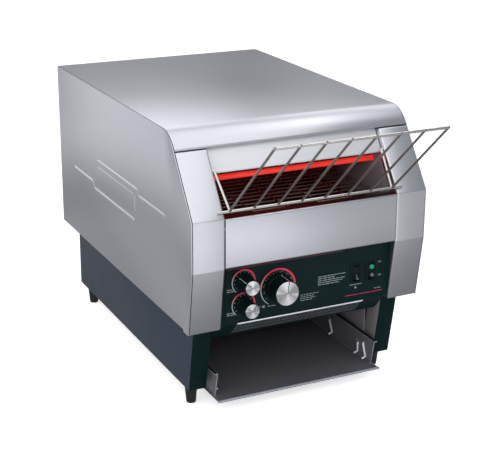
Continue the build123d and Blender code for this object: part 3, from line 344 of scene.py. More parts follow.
paints = {
    "blackPaint": {
        "pebbles": 900.0, "mottle": 24.0, "edge": 0.6, "rub": 0.35, "bump": 0.03, "rough": (0.36, 0.50),
        "dark": (0.0008, 0.0082, 0.0088), "light": (0.0020, 0.0118, 0.0124), "bare": (0.06, 0.08, 0.08),
        "shine": 0.07},
    "slatePaint": {
        "pebbles": 1100.0, "mottle": 14.0, "edge": 0.8, "rub": 0.4, "bump": 0.03, "rough": (0.42, 0.55),
        "dark": (0.0148, 0.0235, 0.040), "light": (0.0205, 0.0305, 0.050), "bare": (0.20, 0.22, 0.25)},
    "labelFilm": {
        "pebbles": 1800.0, "mottle": 40.0, "edge": 0.2, "rub": 0.1, "bump": 0.01, "rough": (0.30, 0.38),
        "dark": (0.0008, 0.0080, 0.0088), "light": (0.0018, 0.0108, 0.0118), "bare": (0.03, 0.04, 0.04),
        "shine": 0.10},
    "knobPlastic": {
        "pebbles": 700.0, "mottle": 60.0, "edge": 0.4, "rub": 0.35, "bump": 0.015, "rough": (0.34, 0.46),
        "dark": (0.0012, 0.0050, 0.0056), "light": (0.0024, 0.0075, 0.0082), "bare": (0.02, 0.025, 0.025),
        "shine": 0.05},
    "switchPlastic": {
        "pebbles": 900.0, "mottle": 50.0, "edge": 0.3, "rub": 0.3, "bump": 0.008, "rough": (0.24, 0.36),
        "dark": (0.0014, 0.0060, 0.0066), "light": (0.0028, 0.0090, 0.0096), "bare": (0.03, 0.04, 0.04),
        "shine": 0.12},
    "footRubber": {
        "pebbles": 800.0, "mottle": 60.0, "edge": 0.5, "rub": 0.3, "bump": 0.04, "rough": (0.45, 0.60),
        "dark": (0.006, 0.009, 0.009), "light": (0.012, 0.015, 0.015), "bare": (0.06, 0.065, 0.065)},
    "ceramic": {
        "pebbles": 1200.0, "mottle": 50.0, "edge": 0.4, "rub": 0.2, "bump": 0.03, "rough": (0.5, 0.65),
        "dark": (0.62, 0.58, 0.50), "light": (0.72, 0.69, 0.62), "bare": (0.80, 0.78, 0.72)},
    "motorPaint": {
        "pebbles": 700.0, "mottle": 30.0, "edge": 0.6, "rub": 0.5, "bump": 0.03, "rough": (0.38, 0.5),
        "dark": (0.035, 0.035, 0.038), "light": (0.055, 0.055, 0.058), "bare": (0.35, 0.35, 0.36)},
    "whitePaint": {
        "pebbles": 1200.0, "mottle": 90.0, "edge": 0.1, "rub": 0.1, "bump": 0.01, "rough": (0.35, 0.5),
        "dark": (0.22, 0.25, 0.26), "light": (0.32, 0.36, 0.37), "bare": (0.3, 0.33, 0.33)},
    "grillePaint": {
        "pebbles": 900.0, "mottle": 60.0, "edge": 0.05, "rub": 0.0, "bump": 0.02, "rough": (0.34, 0.46),
        "dark": (0.006, 0.010, 0.011), "light": (0.012, 0.017, 0.018), "bare": (0.1, 0.11, 0.11)},
    # the grille's black, made lighter on the slots' turned-up lips as painted highlight
    "lipPaint": {
        "pebbles": 900.0, "mottle": 200.0, "edge": 0.1, "rub": 0.4, "bump": 0.02, "rough": (0.30, 0.42),
        "dark": (0.070, 0.078, 0.086), "light": (0.12, 0.13, 0.14), "bare": (0.2, 0.21, 0.22),
        "metallic": 0.3},
}
glows = {
    "heaterTube": {
        "pebbles": 900.0, "mottle": 35.0, "dark": (0.25, 0.02, 0.01), "light": (0.45, 0.05, 0.03),
        "ember": (0.50, 0.008, 0.006), "hot": (0.64, 0.020, 0.012), "power": 1.05, "shine": 0.5,
        "rough": (0.4, 0.6), "bump": 0.02},
    "heaterLow": {
        "pebbles": 900.0, "mottle": 35.0, "dark": (0.010, 0.006, 0.005), "light": (0.020, 0.010, 0.008),
        "ember": (0.25, 0.006, 0.004), "hot": (0.45, 0.015, 0.008), "power": 0.04, "shine": 0.05,
        "rough": (0.4, 0.6), "bump": 0.02},
    "greenLens": {
        "pebbles": 1500.0, "mottle": 300.0, "dark": (0.004, 0.13, 0.07), "light": (0.010, 0.23, 0.13),
        "ember": (0.004, 0.13, 0.07), "hot": (0.010, 0.23, 0.13), "power": 0.10, "shine": 0.5,
        "rough": (0.12, 0.22), "bump": 0.01},
}
knobCaps = ("top_heat_knob_cap", "bottom_heat_knob_cap", "speed_knob_cap")
# the caps' rays are painted reflections: turn, sharpness and weight of each wedge
spun = {"pitch": 0.5, "deep": 0.008, "rays": ((-8.0, 4.0, 0.85), (104.0, 70.0, 0.9), (38.0, 200.0, 0.3)),
        "dark": (0.30, 0.31, 0.32), "light": (0.96, 0.96, 0.97), "rough": (0.20, 0.32)}

finishes = {name: sheetMetal(name, {**plainSteel, **look}) for name, look in metals.items()}
for make, looks in ((sprayed, paints), (glowing, glows), (turnedMetal, {cap: spun for cap in knobCaps})):
    for name, look in looks.items():
        finishes[name] = make(name, look)
finishes["printInk"] = printed("printInk", {
    "pebbles": 1500.0, "mottle": 400.0, "faded": 0.35, "rough": (0.35, 0.5), "bump": 0.01})
print("finishes:", len(finishes))

wornBy = {
    "hoodSteel": ("left_side_panel", "right_side_panel", "top_cover", "rear_panel"),
    "frontSteel": ("left_bezel", "right_bezel", "front_panel"),
    "baffleSteel": ("throat_baffle",), "rackWire": ("feed_rack",), "labelFilm": ("panel_label",),
    "blackPaint": ("control_panel", "left_front_post", "right_front_post", "intake_grille"),
    "knobPlastic": ("top_heat_knob", "bottom_heat_knob", "speed_knob"),
    "switchPlastic": ("cord_bushing", "heat_controls", "speed_control", "mode_switch_housing", "mode_rocker",
                      "power_switch_housing", "power_rocker", "fan_frame", "fan_rotor"),
    "greenLens": ("power_lamp_lens",), "heaterTube": ("top_heaters",), "heaterLow": ("bottom_heaters",),
    "shadedLinerSteel": ("left_chamber_plate", "right_chamber_plate", "top_reflector", "deck_plate",
                   "electrics_pan", "left_frame_rail", "right_frame_rail", "base_floor", "chute",
                   "tray_runners"),
    "shadedDarkSteel": ("bottom_reflector",), "ceramic": ("heater_insulators", "terminal_block"),
    "machinedSteel": ("idler_shaft", "drive_shaft", "drive_sprockets", "idler_sprockets", "shaft_bearings",
                      "motor_sprocket", "shaft_sprocket", "drive_chain"),
    "beltWire": ("conveyor_belt",), "motorPaint": ("gearmotor",), "footRubber": ("feet",),
    "slatePaint": ("left_base_side", "right_base_side", "base_rear_panel"), "shadedTraySteel": ("collector_tray",),
    **{cap: (cap,) for cap in knobCaps},
}


def dress(obj, finish):
    obj.data.materials.clear()
    obj.data.materials.append(finishes[finish])


for finish, names in wornBy.items():
    for node in names:
        dress(nodes[node], finish)
print("CAD nodes dressed:", sum(len(names) for names in wornBy.values()))


# mesh words; a part is (points in mm, faces), and a point is (right, back, up)

def merged(parts):
    points, faces = [], []
    for more, fresh in parts:
        faces += [tuple(i + len(points) for i in face) for face in fresh]
        points += more
    return points, faces


def cleanMesh(name, points, faces, weld=True):
    mesh = bpy.data.meshes.new(name)
    mesh.from_pydata(points, [], faces)
    form = bmesh.new()
    form.from_mesh(mesh)
    if weld:
        bmesh.ops.remove_doubles(form, verts=form.verts, dist=1e-6)
    bmesh.ops.recalc_face_normals(form, faces=form.faces)
    form.to_mesh(mesh)
    form.free()
    return mesh


def shade(mesh, angle):
    # smooth, but for edges sharper than the angle
    mesh.shade_smooth()
    mesh.set_sharp_from_angle(angle=math.radians(angle))


def applyModifiers(piece):
    ready = bpy.context.evaluated_depsgraph_get()
    mesh = bpy.data.meshes.new_from_object(piece.evaluated_get(ready))
    piece.modifiers.clear()
    piece.data = mesh


def soften(piece, width):
    # small rounds on the sharp edges, applied at once
    edge = piece.modifiers.new("softEdges", "BEVEL")
    edge.width, edge.segments = width * mm, 2
    edge.limit_method, edge.angle_limit = "ANGLE", math.radians(40.0)
    edge.harden_normals = False
    applyModifiers(piece)
    shade(piece.data, 50.0)


def settle(piece, finish, stands=None, body="housing"):
    # stands is the CAD node that the piece stands for
    dress(piece, finish)
    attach(piece, body)
    if stands:
        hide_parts(stands)


def newPiece(name, parts, finish, stands=None, body="housing", smooth=30.0, bevel=0.0, weld=True):
    points, faces = merged(parts)
    mesh = cleanMesh(name, [spot(*p) for p in points], faces, weld)
    shade(mesh, smooth)
    piece = shown(name, mesh)
    if bevel:
        soften(piece, bevel)
    settle(piece, finish, stands, body)


def circle(count, shift=0.0):
    # cosine and sine at even steps round a full turn
    return [(math.cos(a), math.sin(a)) for a in (2 * math.pi * (k + shift) / count for k in range(count))]


def skin(rings, caps, closed=True):
    # joins equal rings into a closed skin
    count = len(rings[0])
    faces = []
    for k in range(len(rings) - 1):
        for i in range(count if closed else count - 1):
            j = (i + 1) % count
            faces.append((k * count + i, k * count + j, (k + 1) * count + j, (k + 1) * count + i))
    if caps:
        last = (len(rings) - 1) * count
        faces += [tuple(range(count)), tuple(range(last, last + count))]
    return [p for ring in rings for p in ring], faces


def stations(corners, radii, steps, flip):
    # along a side view path with rounded corners; each carries a depth under the face to a (back, up) point
    normals = []
    for (y0, z0), (y1, z1) in zip(corners, corners[1:]):
        size = flip * math.hypot(y1 - y0, z1 - z0)
        normals.append(Vector(((z1 - z0) / size, (y0 - y1) / size)))
    found = [(corners[0], normals[0], normals[0], 0.0, 1.0)]
    for corner, n1, n2, radius in zip(corners[1:], normals, normals[1:], radii):
        middle, angle = (n1 + n2).normalized(), n1.angle(n2)
        for step in range(steps + 1):
            share = step / steps
            normal = (n1 * math.sin((1 - share) * angle) + n2 * math.sin(share * angle)) / math.sin(angle)
            found.append((corner, middle, normal, radius, middle.dot(n1)))
    return found + [(corners[-1], normals[-1], normals[-1], 0.0, 1.0)]


def atDepth(station, depth):
    corner, middle, normal, radius, shrink = station
    left = max(radius - depth, 0.0)
    return tuple(Vector(corner) + middle * ((depth + left) / shrink) - normal * left)


def sweep(profile, corners, radii, steps=6, flip=-1):
    # a closed (right, depth) profile carried along a side view path
    return skin([[(x, *atDepth(s, d)) for x, d in profile]
                 for s in stations(corners, radii, steps, flip)], True)


def sheetProfile(half, thick):
    return [(-half, 0.0), (half, 0.0), (half, thick), (-half, thick)]


def filleted(before, here, after, radius, steps):
    # the round at one corner of a path
    here = Vector(here)
    b, a = (Vector(before) - here).normalized(), (Vector(after) - here).normalized()
    half = b.angle(a) / 2
    middle = here + (b + a).normalized() * radius / math.sin(half)
    s0, s1 = [here + way * radius / math.tan(half) - middle for way in (b, a)]
    swing = s0.angle(s1)
    return [middle + (s0 * math.sin((1 - k / steps) * swing)
                      + s1 * math.sin(k / steps * swing)) / math.sin(swing) for k in range(steps + 1)]


def rounded(corners, radii, steps=8):
    # a closed outline with its corners rounded; a zero radius stays sharp
    out = []
    for k, radius in enumerate(radii):
        beside = corners[k - 1], corners[k], corners[(k + 1) % len(corners)]
        out += filleted(*beside, radius, steps) if radius else [corners[k]]
    return [tuple(p) for p in out]


def bentPath(corners, radii, steps=6):
    # an open path with its inner corners rounded
    inner = [p for k, radius in enumerate(radii) for p in filleted(*corners[k:k + 3], radius, steps)]
    return [tuple(p) for p in (corners[0], *inner, corners[-1])]


def slab(outline, x0, x1):
    # a (back, up) outline carried from x0 to x1
    return skin([[(x, y, z) for y, z in outline] for x in (x0, x1)], True)


def box(x0, x1, y0, y1, z0, z1):
    return slab([(y0, z0), (y1, z0), (y1, z1), (y0, z1)], x0, x1)


def lathe(centre, profile, count, axis="y"):
    # (radius, along) points turned round an axis through centre; radius 0 closes the end
    rings = []
    for c, s in circle(count):
        turned = [{"x": (t, r * c, r * s), "y": (r * c, t, r * s), "z": (r * c, r * s, t)}[axis]
                  for r, t in profile]
        rings.append([tuple(a + b for a, b in zip(centre, p)) for p in turned])
    return skin(rings + [rings[0]], False, closed=False)


def domeEnd(middle, ahead, ring, radius):
    # three shrinking rings past the end of a bar
    return [[tuple(middle + (Vector(p) - middle) * math.sqrt(1 - share * share)
                   + ahead * radius * 0.5 * share) for p in ring] for share in (0.35, 0.7, 0.94)]


def tube(path, diameter, sides=12, domed=True):
    # round bar along 3-D points; its rounded ends stop at the path's own ends
    points = [Vector(p) for p in path]
    radius = diameter / 2
    first, last = (points[1] - points[0]).normalized(), (points[-2] - points[-1]).normalized()
    if domed:
        points[0], points[-1] = points[0] + first * radius / 2, points[-1] + last * radius / 2
    loops = []
    normal = Vector((0, 0, 1)) if abs(first.z) < 0.8 else Vector((0, 1, 0))
    for k, here in enumerate(points):
        along = (points[min(k + 1, len(points) - 1)] - points[max(k - 1, 0)]).normalized()
        normal = (normal - along * normal.dot(along)).normalized()
        side = along.cross(normal)
        loops.append([tuple(here + (normal * c + side * s) * radius) for c, s in circle(sides)])
    if domed:
        loops = (domeEnd(points[0], -first, loops[0], radius)[::-1] + loops
                 + domeEnd(points[-1], -last, loops[-1], radius))
    return skin(loops, True)


def makeScatterTree():
    # a unit on every point, turned by the point's own angles after a random spin, all as one mesh
    tree, start, end = newGroup(
        "unitsOnPlaces",
        {"Places": ("Geometry", None), "Unit": ("Object", None), "Spin": ("Float", 0.0), "Seed": ("Int", 1),
         "Finish": ("Material", None)}, {"Units": "Geometry"}, "Geometry")
    unit = addNode(tree, "GeometryNodeObjectInfo", transform_space="ORIGINAL", Object=start["Unit"])
    turn = addNode(tree, "GeometryNodeInputNamedAttribute", data_type="FLOAT_VECTOR", Name="turn")
    facing = addNode(tree, "FunctionNodeEulerToRotation", turn.outputs["Attribute"]).outputs[0]
    random = addNode(tree, "FunctionNodeRandomValue", data_type="FLOAT", Seed=start["Seed"])
    feed(tree, start["Spin"], random.inputs[3])  # the largest value
    spin = addNode(tree, "ShaderNodeCombineXYZ", Z=random.outputs[1]).outputs[0]
    extra = addNode(tree, "FunctionNodeEulerToRotation", spin).outputs[0]
    both = addNode(tree, "FunctionNodeRotateRotation", facing, extra, rotation_space="LOCAL").outputs[0]
    copies = addNode(tree, "GeometryNodeInstanceOnPoints", Points=start["Places"],
                     Instance=unit.outputs["Geometry"], Rotation=both).outputs[0]
    whole = addNode(tree, "GeometryNodeRealizeInstances", copies).outputs[0]
    finished = addNode(tree, "GeometryNodeSetMaterial", Geometry=whole, Material=start["Finish"]).outputs[0]
    feed(tree, finished, end["Units"])
    return tree


scatterTree = makeScatterTree()


def repeated(name, unit, places, finish, stands=None, spin=0.0, seed=1, smooth=30.0):
    # unit is a part round the origin; places are ((right, back, up), (three angles)); all on the housing
    points, faces = unit
    mesh = cleanMesh(name + "Unit", [Vector(p) * mm for p in points], faces)
    shade(mesh, smooth)
    pattern = shown(name + "Unit", mesh)
    carrier = bpy.data.meshes.new(name)
    carrier.from_pydata([spot(*where) for where, turn in places], [], [])
    turns = carrier.attributes.new("turn", "FLOAT_VECTOR", "POINT")
    turns.data.foreach_set("vector", [angle for where, turn in places for angle in turn])
    piece = shown(name, carrier)
    scatter = piece.modifiers.new("scatter", "NODES")
    scatter.node_group = scatterTree
    values = {"Unit": pattern, "Spin": spin, "Seed": seed, "Finish": finishes[finish]}
    for item in scatterTree.interface.items_tree:
        if item.name in values:
            scatter[item.identifier] = values[item.name]
    applyModifiers(piece)
    bpy.data.objects.remove(pattern)
    shade(piece.data, smooth)
    settle(piece, finish, stands)


hood = {
    "deep": 555.0, "top": 407.0, "knee": 300.0, "lowKnee": 228.0, "chin": (14.0, 134.0),
    "sideFoot": 137.5, "tab": 32.0, "lean": 35.0, "nose": 48.0, "seamDrop": 25.0, "sheet": 1.5,
    "fold": 2.5, "sideOuter": 184.0, "sideInner": 182.5, "coverHalf": 181.7, "windowHalf": 134.8,
    "panelHalf": 134.0, "return": 16.0, "lip": 14.0,
}
sinLean, cosLean = math.sin(math.radians(hood["lean"])), math.cos(math.radians(hood["lean"]))


def onWindow(along, out=0.0):
    # up the sloping window from the knee, and out from its face
    return (along * sinLean - out * cosLean, hood["knee"] + along * cosLean + out * sinLean)


noseCorner = onWindow((hood["top"] - hood["knee"]) / cosLean)
seamAlong = (hood["top"] - hood["seamDrop"] - hood["knee"]) / cosLean


def makeTopCover():
    seam = onWindow(seamAlong)
    path = [(seam[0] + hood["lip"], seam[1]), seam, noseCorner, (hood["deep"], hood["top"])]
    part = sweep(sheetProfile(hood["coverHalf"], hood["sheet"]), path, [hood["fold"], hood["nose"]], 14, 1)
    newPiece("topSheet", [part], "hoodSteel", "top_cover", bevel=0.3)


def makeBezel(side, look):
    half, wide, thick, r = hood["windowHalf"], hood["coverHalf"], hood["sheet"], look["fold"]
    turns = [math.radians(90 * k / look["steps"]) for k in range(look["steps"] + 1)]
    face, inside = [[(half + r - bend * math.cos(a), r - bend * math.sin(a)) for a in turns]
                    for bend in (r, r - thick)]
    profile = [(half, hood["return"]), *face, (wide, 0.0), (wide, thick), *inside[::-1],
               (half + thick, hood["return"])]
    start, low = onWindow(seamAlong - look["gap"]), hood["chin"]
    path = [(start[0] + hood["lip"], start[1]), start, (0, hood["knee"]), (0, hood["lowKnee"]), low,
            (low[0] + hood["lip"], low[1])]
    part = sweep([(side * x, d) for x, d in profile], path, [hood["fold"]] * 4)
    name = sideName[side]
    newPiece(name + "Bezel", [part], "frontSteel", name + "_bezel", bevel=0.25)


def makeFrontPanel():
    top, low = hood["knee"] - 1.0, hood["lowKnee"]
    path = [(hood["return"], top), (0, top), (0, low), (hood["return"] - hood["fold"], low)]
    part = sweep(sheetProfile(hood["panelHalf"], hood["sheet"]), path, [hood["fold"]] * 2)
    newPiece("frontPanel", [part], "panelSteel", "front_panel", bevel=0.3)


def makeBaffle(look):
    top = onWindow(seamAlong - (look["gap"] - look["setback"] * sinLean) / cosLean, -look["setback"])
    low = onWindow(seamAlong - look["tall"], -look["setback"])
    path = [(top[0] + look["fold"], top[1]), top, low, (low[0] + look["lip"], low[1])]
    part = sweep(sheetProfile(hood["panelHalf"], look["sheet"]), path, [look["radius"]] * 2)
    newPiece("windowBaffle", [part], "baffleSteel", "throat_baffle", bevel=0.2)


def ridge(path, width, height, x, way):
    # a pressed bead: a low rounded ridge along (back, up) points, with round ends
    half, path = width / 2, [Vector(p) for p in path]
    shares = [k / 8 for k in range(-8, 9)]

    def across(here, sideways, part):
        # the bead's swell, which dips just under the sheet at its edges
        swell = [height * math.cos(s * math.pi / 2) ** 0.8 if abs(s) < 1 else -0.05 for s in part]
        return [(x + way * rise, *(here + sideways * half * s)) for s, rise in zip(part, swell)]

    rings = []
    for before, here, after in zip(path[:1] + path, path, path[1:] + path[-1:]):
        along = (after - before).normalized()
        rings.append(across(here, Vector((-along.y, along.x)), shares))
    parts = [skin(rings, False, closed=False)]
    for end, other in ((0, 1), (-1, -2)):
        along = (path[end] - path[other]).normalized()
        side = Vector((-along.y, along.x))
        turns = [math.radians(22.5 * k - 90) for k in range(9)]
        fan = [across(path[end], along * math.cos(a) + side * math.sin(a), shares[8:]) for a in turns]
        parts.append(skin(fan, False, closed=False))
    return parts


def plateau(outlineAt, height, x, way):
    # a raised field with rounded shoulders; outlineAt gives the outline for an inset
    insets = [(0.0, -0.05), (0.25, 0.35), (0.6, 0.65), (1.1, 0.87), (1.8, 1.0)]
    rings = [[(x + way * height * rise, y, z) for y, z in outlineAt(inset)] for inset, rise in insets]
    points, faces = skin(rings, False)
    return points, faces + [tuple(range(len(points) - len(rings[0]), len(points)))]


def makeSidePanel(side, look):
    tab, foot, chin = hood["tab"], hood["sideFoot"], hood["chin"]
    outline = rounded(
        [(hood["deep"], hood["top"]), noseCorner, (0, hood["knee"]), (0, hood["lowKnee"]), chin,
         (tab, chin[1]), (tab, foot), (hood["deep"], foot)],
        [0, hood["nose"], 1.2, 1.2, 1.2, 1.0, 0, 0], 16)
    inner, outer, flange = [side * x for x in (hood["sideInner"], hood["sideOuter"], look["flange"])]
    parts = [slab(outline, inner, outer),
             box(flange, inner, tab, hood["deep"] - hood["sheet"], foot, foot + hood["sheet"])]
    name = sideName[side]
    newPiece(name + "Side", parts, "hoodSteel", name + "_side_panel", bevel=0.9, weld=False)
    beads = []
    for bead in look["beads"]:
        corners = [(y, hood["knee"] - drop) for y, drop in bead]
        beads += ridge(bentPath(corners, [look["jog"]] * 2), look["beadWide"], look["proud"], outer, side)
    (y0, y1), (high, low) = look["fieldSpan"], look["fieldRows"]

    def fieldAt(inset):
        z0, z1 = hood["knee"] - low + inset, hood["knee"] - high - inset
        corners = [(y0 + inset, z0), (y1 - inset, z0), (y1 - inset, z1), (y0 + inset, z1)]
        return rounded(corners, [look["corner"] - inset] * 4)

    # lighter steel on the beads: painted highlight
    newPiece(name + "SideBeads", beads, "litBeadSteel", smooth=60.0)
    newPiece(name + "SideField", [plateau(fieldAt, look["proud"], outer, side)], "hoodSteel",
             smooth=60.0)


makeTopCover()
for side in (-1, 1):
    makeBezel(side, {"fold": 2.5, "steps": 5, "gap": 0.8})
    makeSidePanel(side, {
        "flange": 166.3, "beadWide": 5.0, "proud": 0.75, "jog": 7.0, "corner": 6.0,
        "beads": ([(480, 48), (390, 48), (382, 58), (211, 58)], [(364, 8), (196, 8), (188, 16), (92, 16)]),
        "fieldSpan": (206, 368), "fieldRows": (17, 50)})
makeFrontPanel()
makeBaffle({"sheet": 1.2, "gap": 0.3, "setback": 8.0, "tall": 34.2, "fold": 18.0, "lip": 10.0, "radius": 1.6})
print("hood made")


rack = {
    "rod": 4.0, "wire": 3.4, "count": 8, "span": 254.0, "slope": 42.7, "long": 173.5, "pins": 144.0,
    "topHalf": 129.0, "overrun": 2.5, "armFoot": 126.5, "armTop": 131.6, "armBend": 3.0,
    "hookEnd": 141.5, "hookDrop": 30.4, "hookInset": 3.8, "rise": 9.0, "stand": 2.3,
}


def makeRack(look):
    slope, (y0, z0) = math.radians(look["slope"]), onWindow(look["rise"], look["stand"])
    y1, z1 = y0 - look["long"] * math.cos(slope), z0 + look["long"] * math.sin(slope)
    hook = onWindow(seamAlong - look["hookDrop"], -look["hookInset"])
    over = 1 + look["overrun"] / look["long"]
    rods = [[(-half, y, z), (half, y, z)]
            for half, y, z in ((look["pins"], y0, z0), (look["topHalf"], y1, z1))]
    for side in (-1, 1):
        rods.append(bentPath([(side * look["armFoot"], y0, z0), (side * look["armTop"], *hook),
                              (side * look["hookEnd"], *hook)], [look["armBend"]]))
    wires = []
    for k in range(look["count"]):
        x = k * look["span"] / (look["count"] - 1) - look["span"] / 2
        wires.append([(x, y0, z0), (x, y0 + (y1 - y0) * over, z0 + (z1 - z0) * over)])
    newPiece("feedRack", [tube(path, look["rod"], 16) for path in rods], "rackWire", "feed_rack",
             "feed_rack", smooth=40.0, weld=False)
    newPiece("rackWires", [tube(path, look["wire"]) for path in wires], "rackSteel", None,
             "feed_rack", smooth=40.0, weld=False)


makeRack(rack)

heat = {
    "diameter": 8.0, "reach": 140.2,
    "rows": {"top_heaters": ("upperTubes", "heaterTube", 6),
             "bottom_heaters": ("lowerTubes", "heaterLow", 5)},  # piece, finish, how many
}


def tubeRow(node):
    # the middle of each tube in a row, from the box of its CAD node
    low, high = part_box(node)
    half, count = heat["diameter"] / 2, heat["rows"][node][2]
    first, last = (low.y - frontFace) / mm + half, (high.y - frontFace) / mm - half
    return [(first + (last - first) * k / (count - 1), (low.z + high.z) / 2 / mm) for k in range(count)]


for node, (title, finish, count) in heat["rows"].items():
    reach = heat["reach"]
    tubes = [tube([(-reach, y, z), (reach, y, z)], heat["diameter"], 20) for y, z in tubeRow(node)]
    newPiece(title, tubes, finish, node, smooth=40.0, weld=False)
print("rack and heating tubes made")


belt = {
    "wide": 254.0, "pitch": 15.24, "bits": 5, "reach": 8.4, "gauge": 2.2, "gap": 0.6, "radius": 23.184,
    "front": 34.0, "rear": 430.24, "height": 270.0, "teeth": 10, "straight": 26, "bend": 1.6,
}


def strandUnit(look):
    # one wire of the belt, stepping forward and back across it
    leg = 2 * look["reach"] * math.tan(math.asin((look["gauge"] + look["gap"]) / look["pitch"]))
    step = look["wide"] / look["bits"]
    corners = []
    for i in range(look["bits"]):
        u = look["reach"] if i % 2 == 0 else -look["reach"]
        x0 = i * step - look["wide"] / 2
        corners.append((x0 + (leg / 2 if i else 0), u, 0.0))
        corners.append((x0 + step - (leg / 2 if i < look["bits"] - 1 else 0), u, 0.0))
    return tube(bentPath(corners, [look["bend"]] * (len(corners) - 2), 2), look["gauge"], 8, domed=False)


def strandPlaces(look):
    # where each wire lies round the two shafts, and how far its travel has turned downwards
    places = []
    for k in range(look["straight"]):
        along = (k + 0.5) * look["pitch"]
        places.append((look["front"] + along, look["height"] + look["radius"], 0.0))
        places.append((look["rear"] - along, look["height"] - look["radius"], math.pi))
    for k in range(look["teeth"] // 2):
        a = (k + 0.5) * 2 * math.pi / look["teeth"]
        dy, dz = look["radius"] * math.sin(a), look["radius"] * math.cos(a)
        places.append((look["rear"] + dy, look["height"] + dz, a))
        places.append((look["front"] - dy, look["height"] - dz, math.pi + a))
    return [((0.0, y, z), (-a, 0.0, 0.0)) for y, z, a in places]


repeated("beltStrands", strandUnit(belt), strandPlaces(belt), "beltWire", "conveyor_belt",
         smooth=50.0)

wheel = {
    "root": 19.4, "tip": 21.9, "bore": 6.0, "wide": 8.0, "bits": (-50.8, 50.8), "lead": 73.92,
    "tooth": [(-18.0, 0.0), (-14.6, 0.0), (-13.0, 0.2), (-11.2, 0.8), (-9.6, 1.0), (-3.2, 1.0), (3.2, 1.0),
              (9.6, 1.0), (11.2, 0.8), (13.0, 0.2), (14.6, 0.0)],  # degrees off its middle, share of height
}


def beltWheel(look, x, back):
    # a toothed wheel whose teeth run just under the wires, so that it turns freely inside the belt
    sizes = []
    for k in range(belt["teeth"]):
        for turn, share in look["tooth"]:
            a = math.radians(look["lead"] + k * 360 / belt["teeth"] + turn)
            sizes.append((math.cos(a), math.sin(a), look["root"] + (look["tip"] - look["root"]) * share))
    rings = []
    for side, hollow in ((-1, 0), (1, 0), (1, 1), (-1, 1), (-1, 0)):
        rings.append([(x + side * look["wide"] / 2, back + c * (look["bore"] if hollow else r),
                       belt["height"] + s * (look["bore"] if hollow else r)) for c, s, r in sizes])
    return skin(rings, False)


for name, back in (("drive", belt["rear"]), ("idler", belt["front"])):
    newPiece(name + "Wheels", [beltWheel(wheel, x, back) for x in wheel["bits"]], "machinedSteel",
             name + "_sprockets", name + "_shaft", smooth=35.0)

chain = {
    "pitch": 9.525, "links": 38, "x": 156.0, "small": (363.3864, 171.9, 15.4118),
    "large": (430.24, 270.0, 24.4118), "plate": 1.0, "inner": 4.8, "tall": 7.0, "roller": 5.0, "pin": 1.4,
}


def chainPins(look):
    # pins one pitch apart along the line round both wheels
    (my, mz, small), (sy, sz, large) = look["small"], look["large"]
    direction, apart = math.atan2(sz - mz, sy - my), math.hypot(sy - my, sz - mz)
    wrap = math.acos((small - large) / apart)
    line = []
    for y, z, radius, first, last in ((my, mz, small, wrap, 2 * math.pi - wrap),
                                      (sy, sz, large, -wrap, wrap)):
        for k in range(49):
            a = direction + first + (last - first) * k / 48
            line.append(Vector((y + radius * math.cos(a), z + radius * math.sin(a))))
    line.append(line[0])
    total = sum((b - a).length for a, b in zip(line, line[1:]))
    pins, step, done, want = [], total / look["links"], 0.0, 0.0
    for a, b in zip(line, line[1:]):
        size = (b - a).length
        while len(pins) < look["links"] and want <= done + size:
            pins.append(a + (b - a) * ((want - done) / size))
            want += step
        done += size
    return pins


def linkPlates(look, x0, x1):
    # two waisted side plates joining a pin to the next, which lies one pitch along the back
    half, waist, pitch = look["tall"] / 2 - 0.1, look["tall"] / 2 - 1.3, look["pitch"]
    end = [(half * math.cos(a), half * math.sin(a)) for a in (math.radians(100 + 20 * k) for k in range(9))]
    outline = end + [(pitch / 2, -waist)] + [(pitch - y, -z) for y, z in end] + [(pitch / 2, waist)]
    return merged([slab(outline, side * x0, side * x1) for side in (-1, 1)])


def rollerUnit(look):
    half, reach = look["inner"] / 2 - 0.1, look["inner"] / 2 + look["plate"] * 2
    roller, pin = look["roller"] / 2, look["pin"]
    profile = [(0.0, -reach), (pin, -reach), (pin, -half), (roller, -half), (roller, half), (pin, half),
               (pin, reach), (0.0, reach)]
    return lathe((0.0, 0.0, 0.0), profile, 12, "x")


def makeChain(look):
    pins, links = chainPins(look), ([], [])
    for k, (here, following) in enumerate(zip(pins, pins[1:] + pins[:1])):
        ahead = following - here
        links[k % 2].append(((look["x"], here.x, here.y), (math.atan2(ahead.y, ahead.x), 0.0, 0.0)))
    for name, places, out, node in (("chainInner", links[1], 0, "drive_chain"),
                                    ("chainOuter", links[0], 1, None)):
        x0 = look["inner"] / 2 + out * look["plate"]
        repeated(name, linkPlates(look, x0, x0 + look["plate"]), places, "machinedSteel", node)
    pinPlaces = [((look["x"], p.x, p.y), (0.0, 0.0, 0.0)) for p in pins]
    repeated("chainRollers", rollerUnit(look), pinPlaces, "machinedSteel")


makeChain(chain)


def insulatorUnit(look):
    # square ceramic end with a stepped, drilled nose
    half, long = look["side"] / 2, look["long"] / 2
    square = rounded([(-half, -half), (half, -half), (half, half), (-half, half)], [look["corner"]] * 4, 3)
    inset = [(y * look["nose"], z * look["nose"]) for y, z in square]
    bore = [(look["bore"] * y / math.hypot(y, z), look["bore"] * z / math.hypot(y, z)) for y, z in square]
    loops = ((-long, square), (long - 2.0, square), (long, inset), (long, bore), (long - 3.0, bore))
    return skin([[(x, y, z) for y, z in loop] for x, loop in loops], True)


def makeInsulators(look):
    places = []
    for node in heat["rows"]:
        for y, z in tubeRow(node):
            places += [((look["x"], y, z), (0, 0, 0)), ((-look["x"], y, z), (0, 0, math.pi))]
    repeated("tubeEnds", insulatorUnit(look), places, "ceramic", "heater_insulators")


makeInsulators({"side": 14.0, "long": 8.0, "x": 144.2, "corner": 1.4, "nose": 0.82, "bore": 2.1})
print("belt, chain and insulators made")


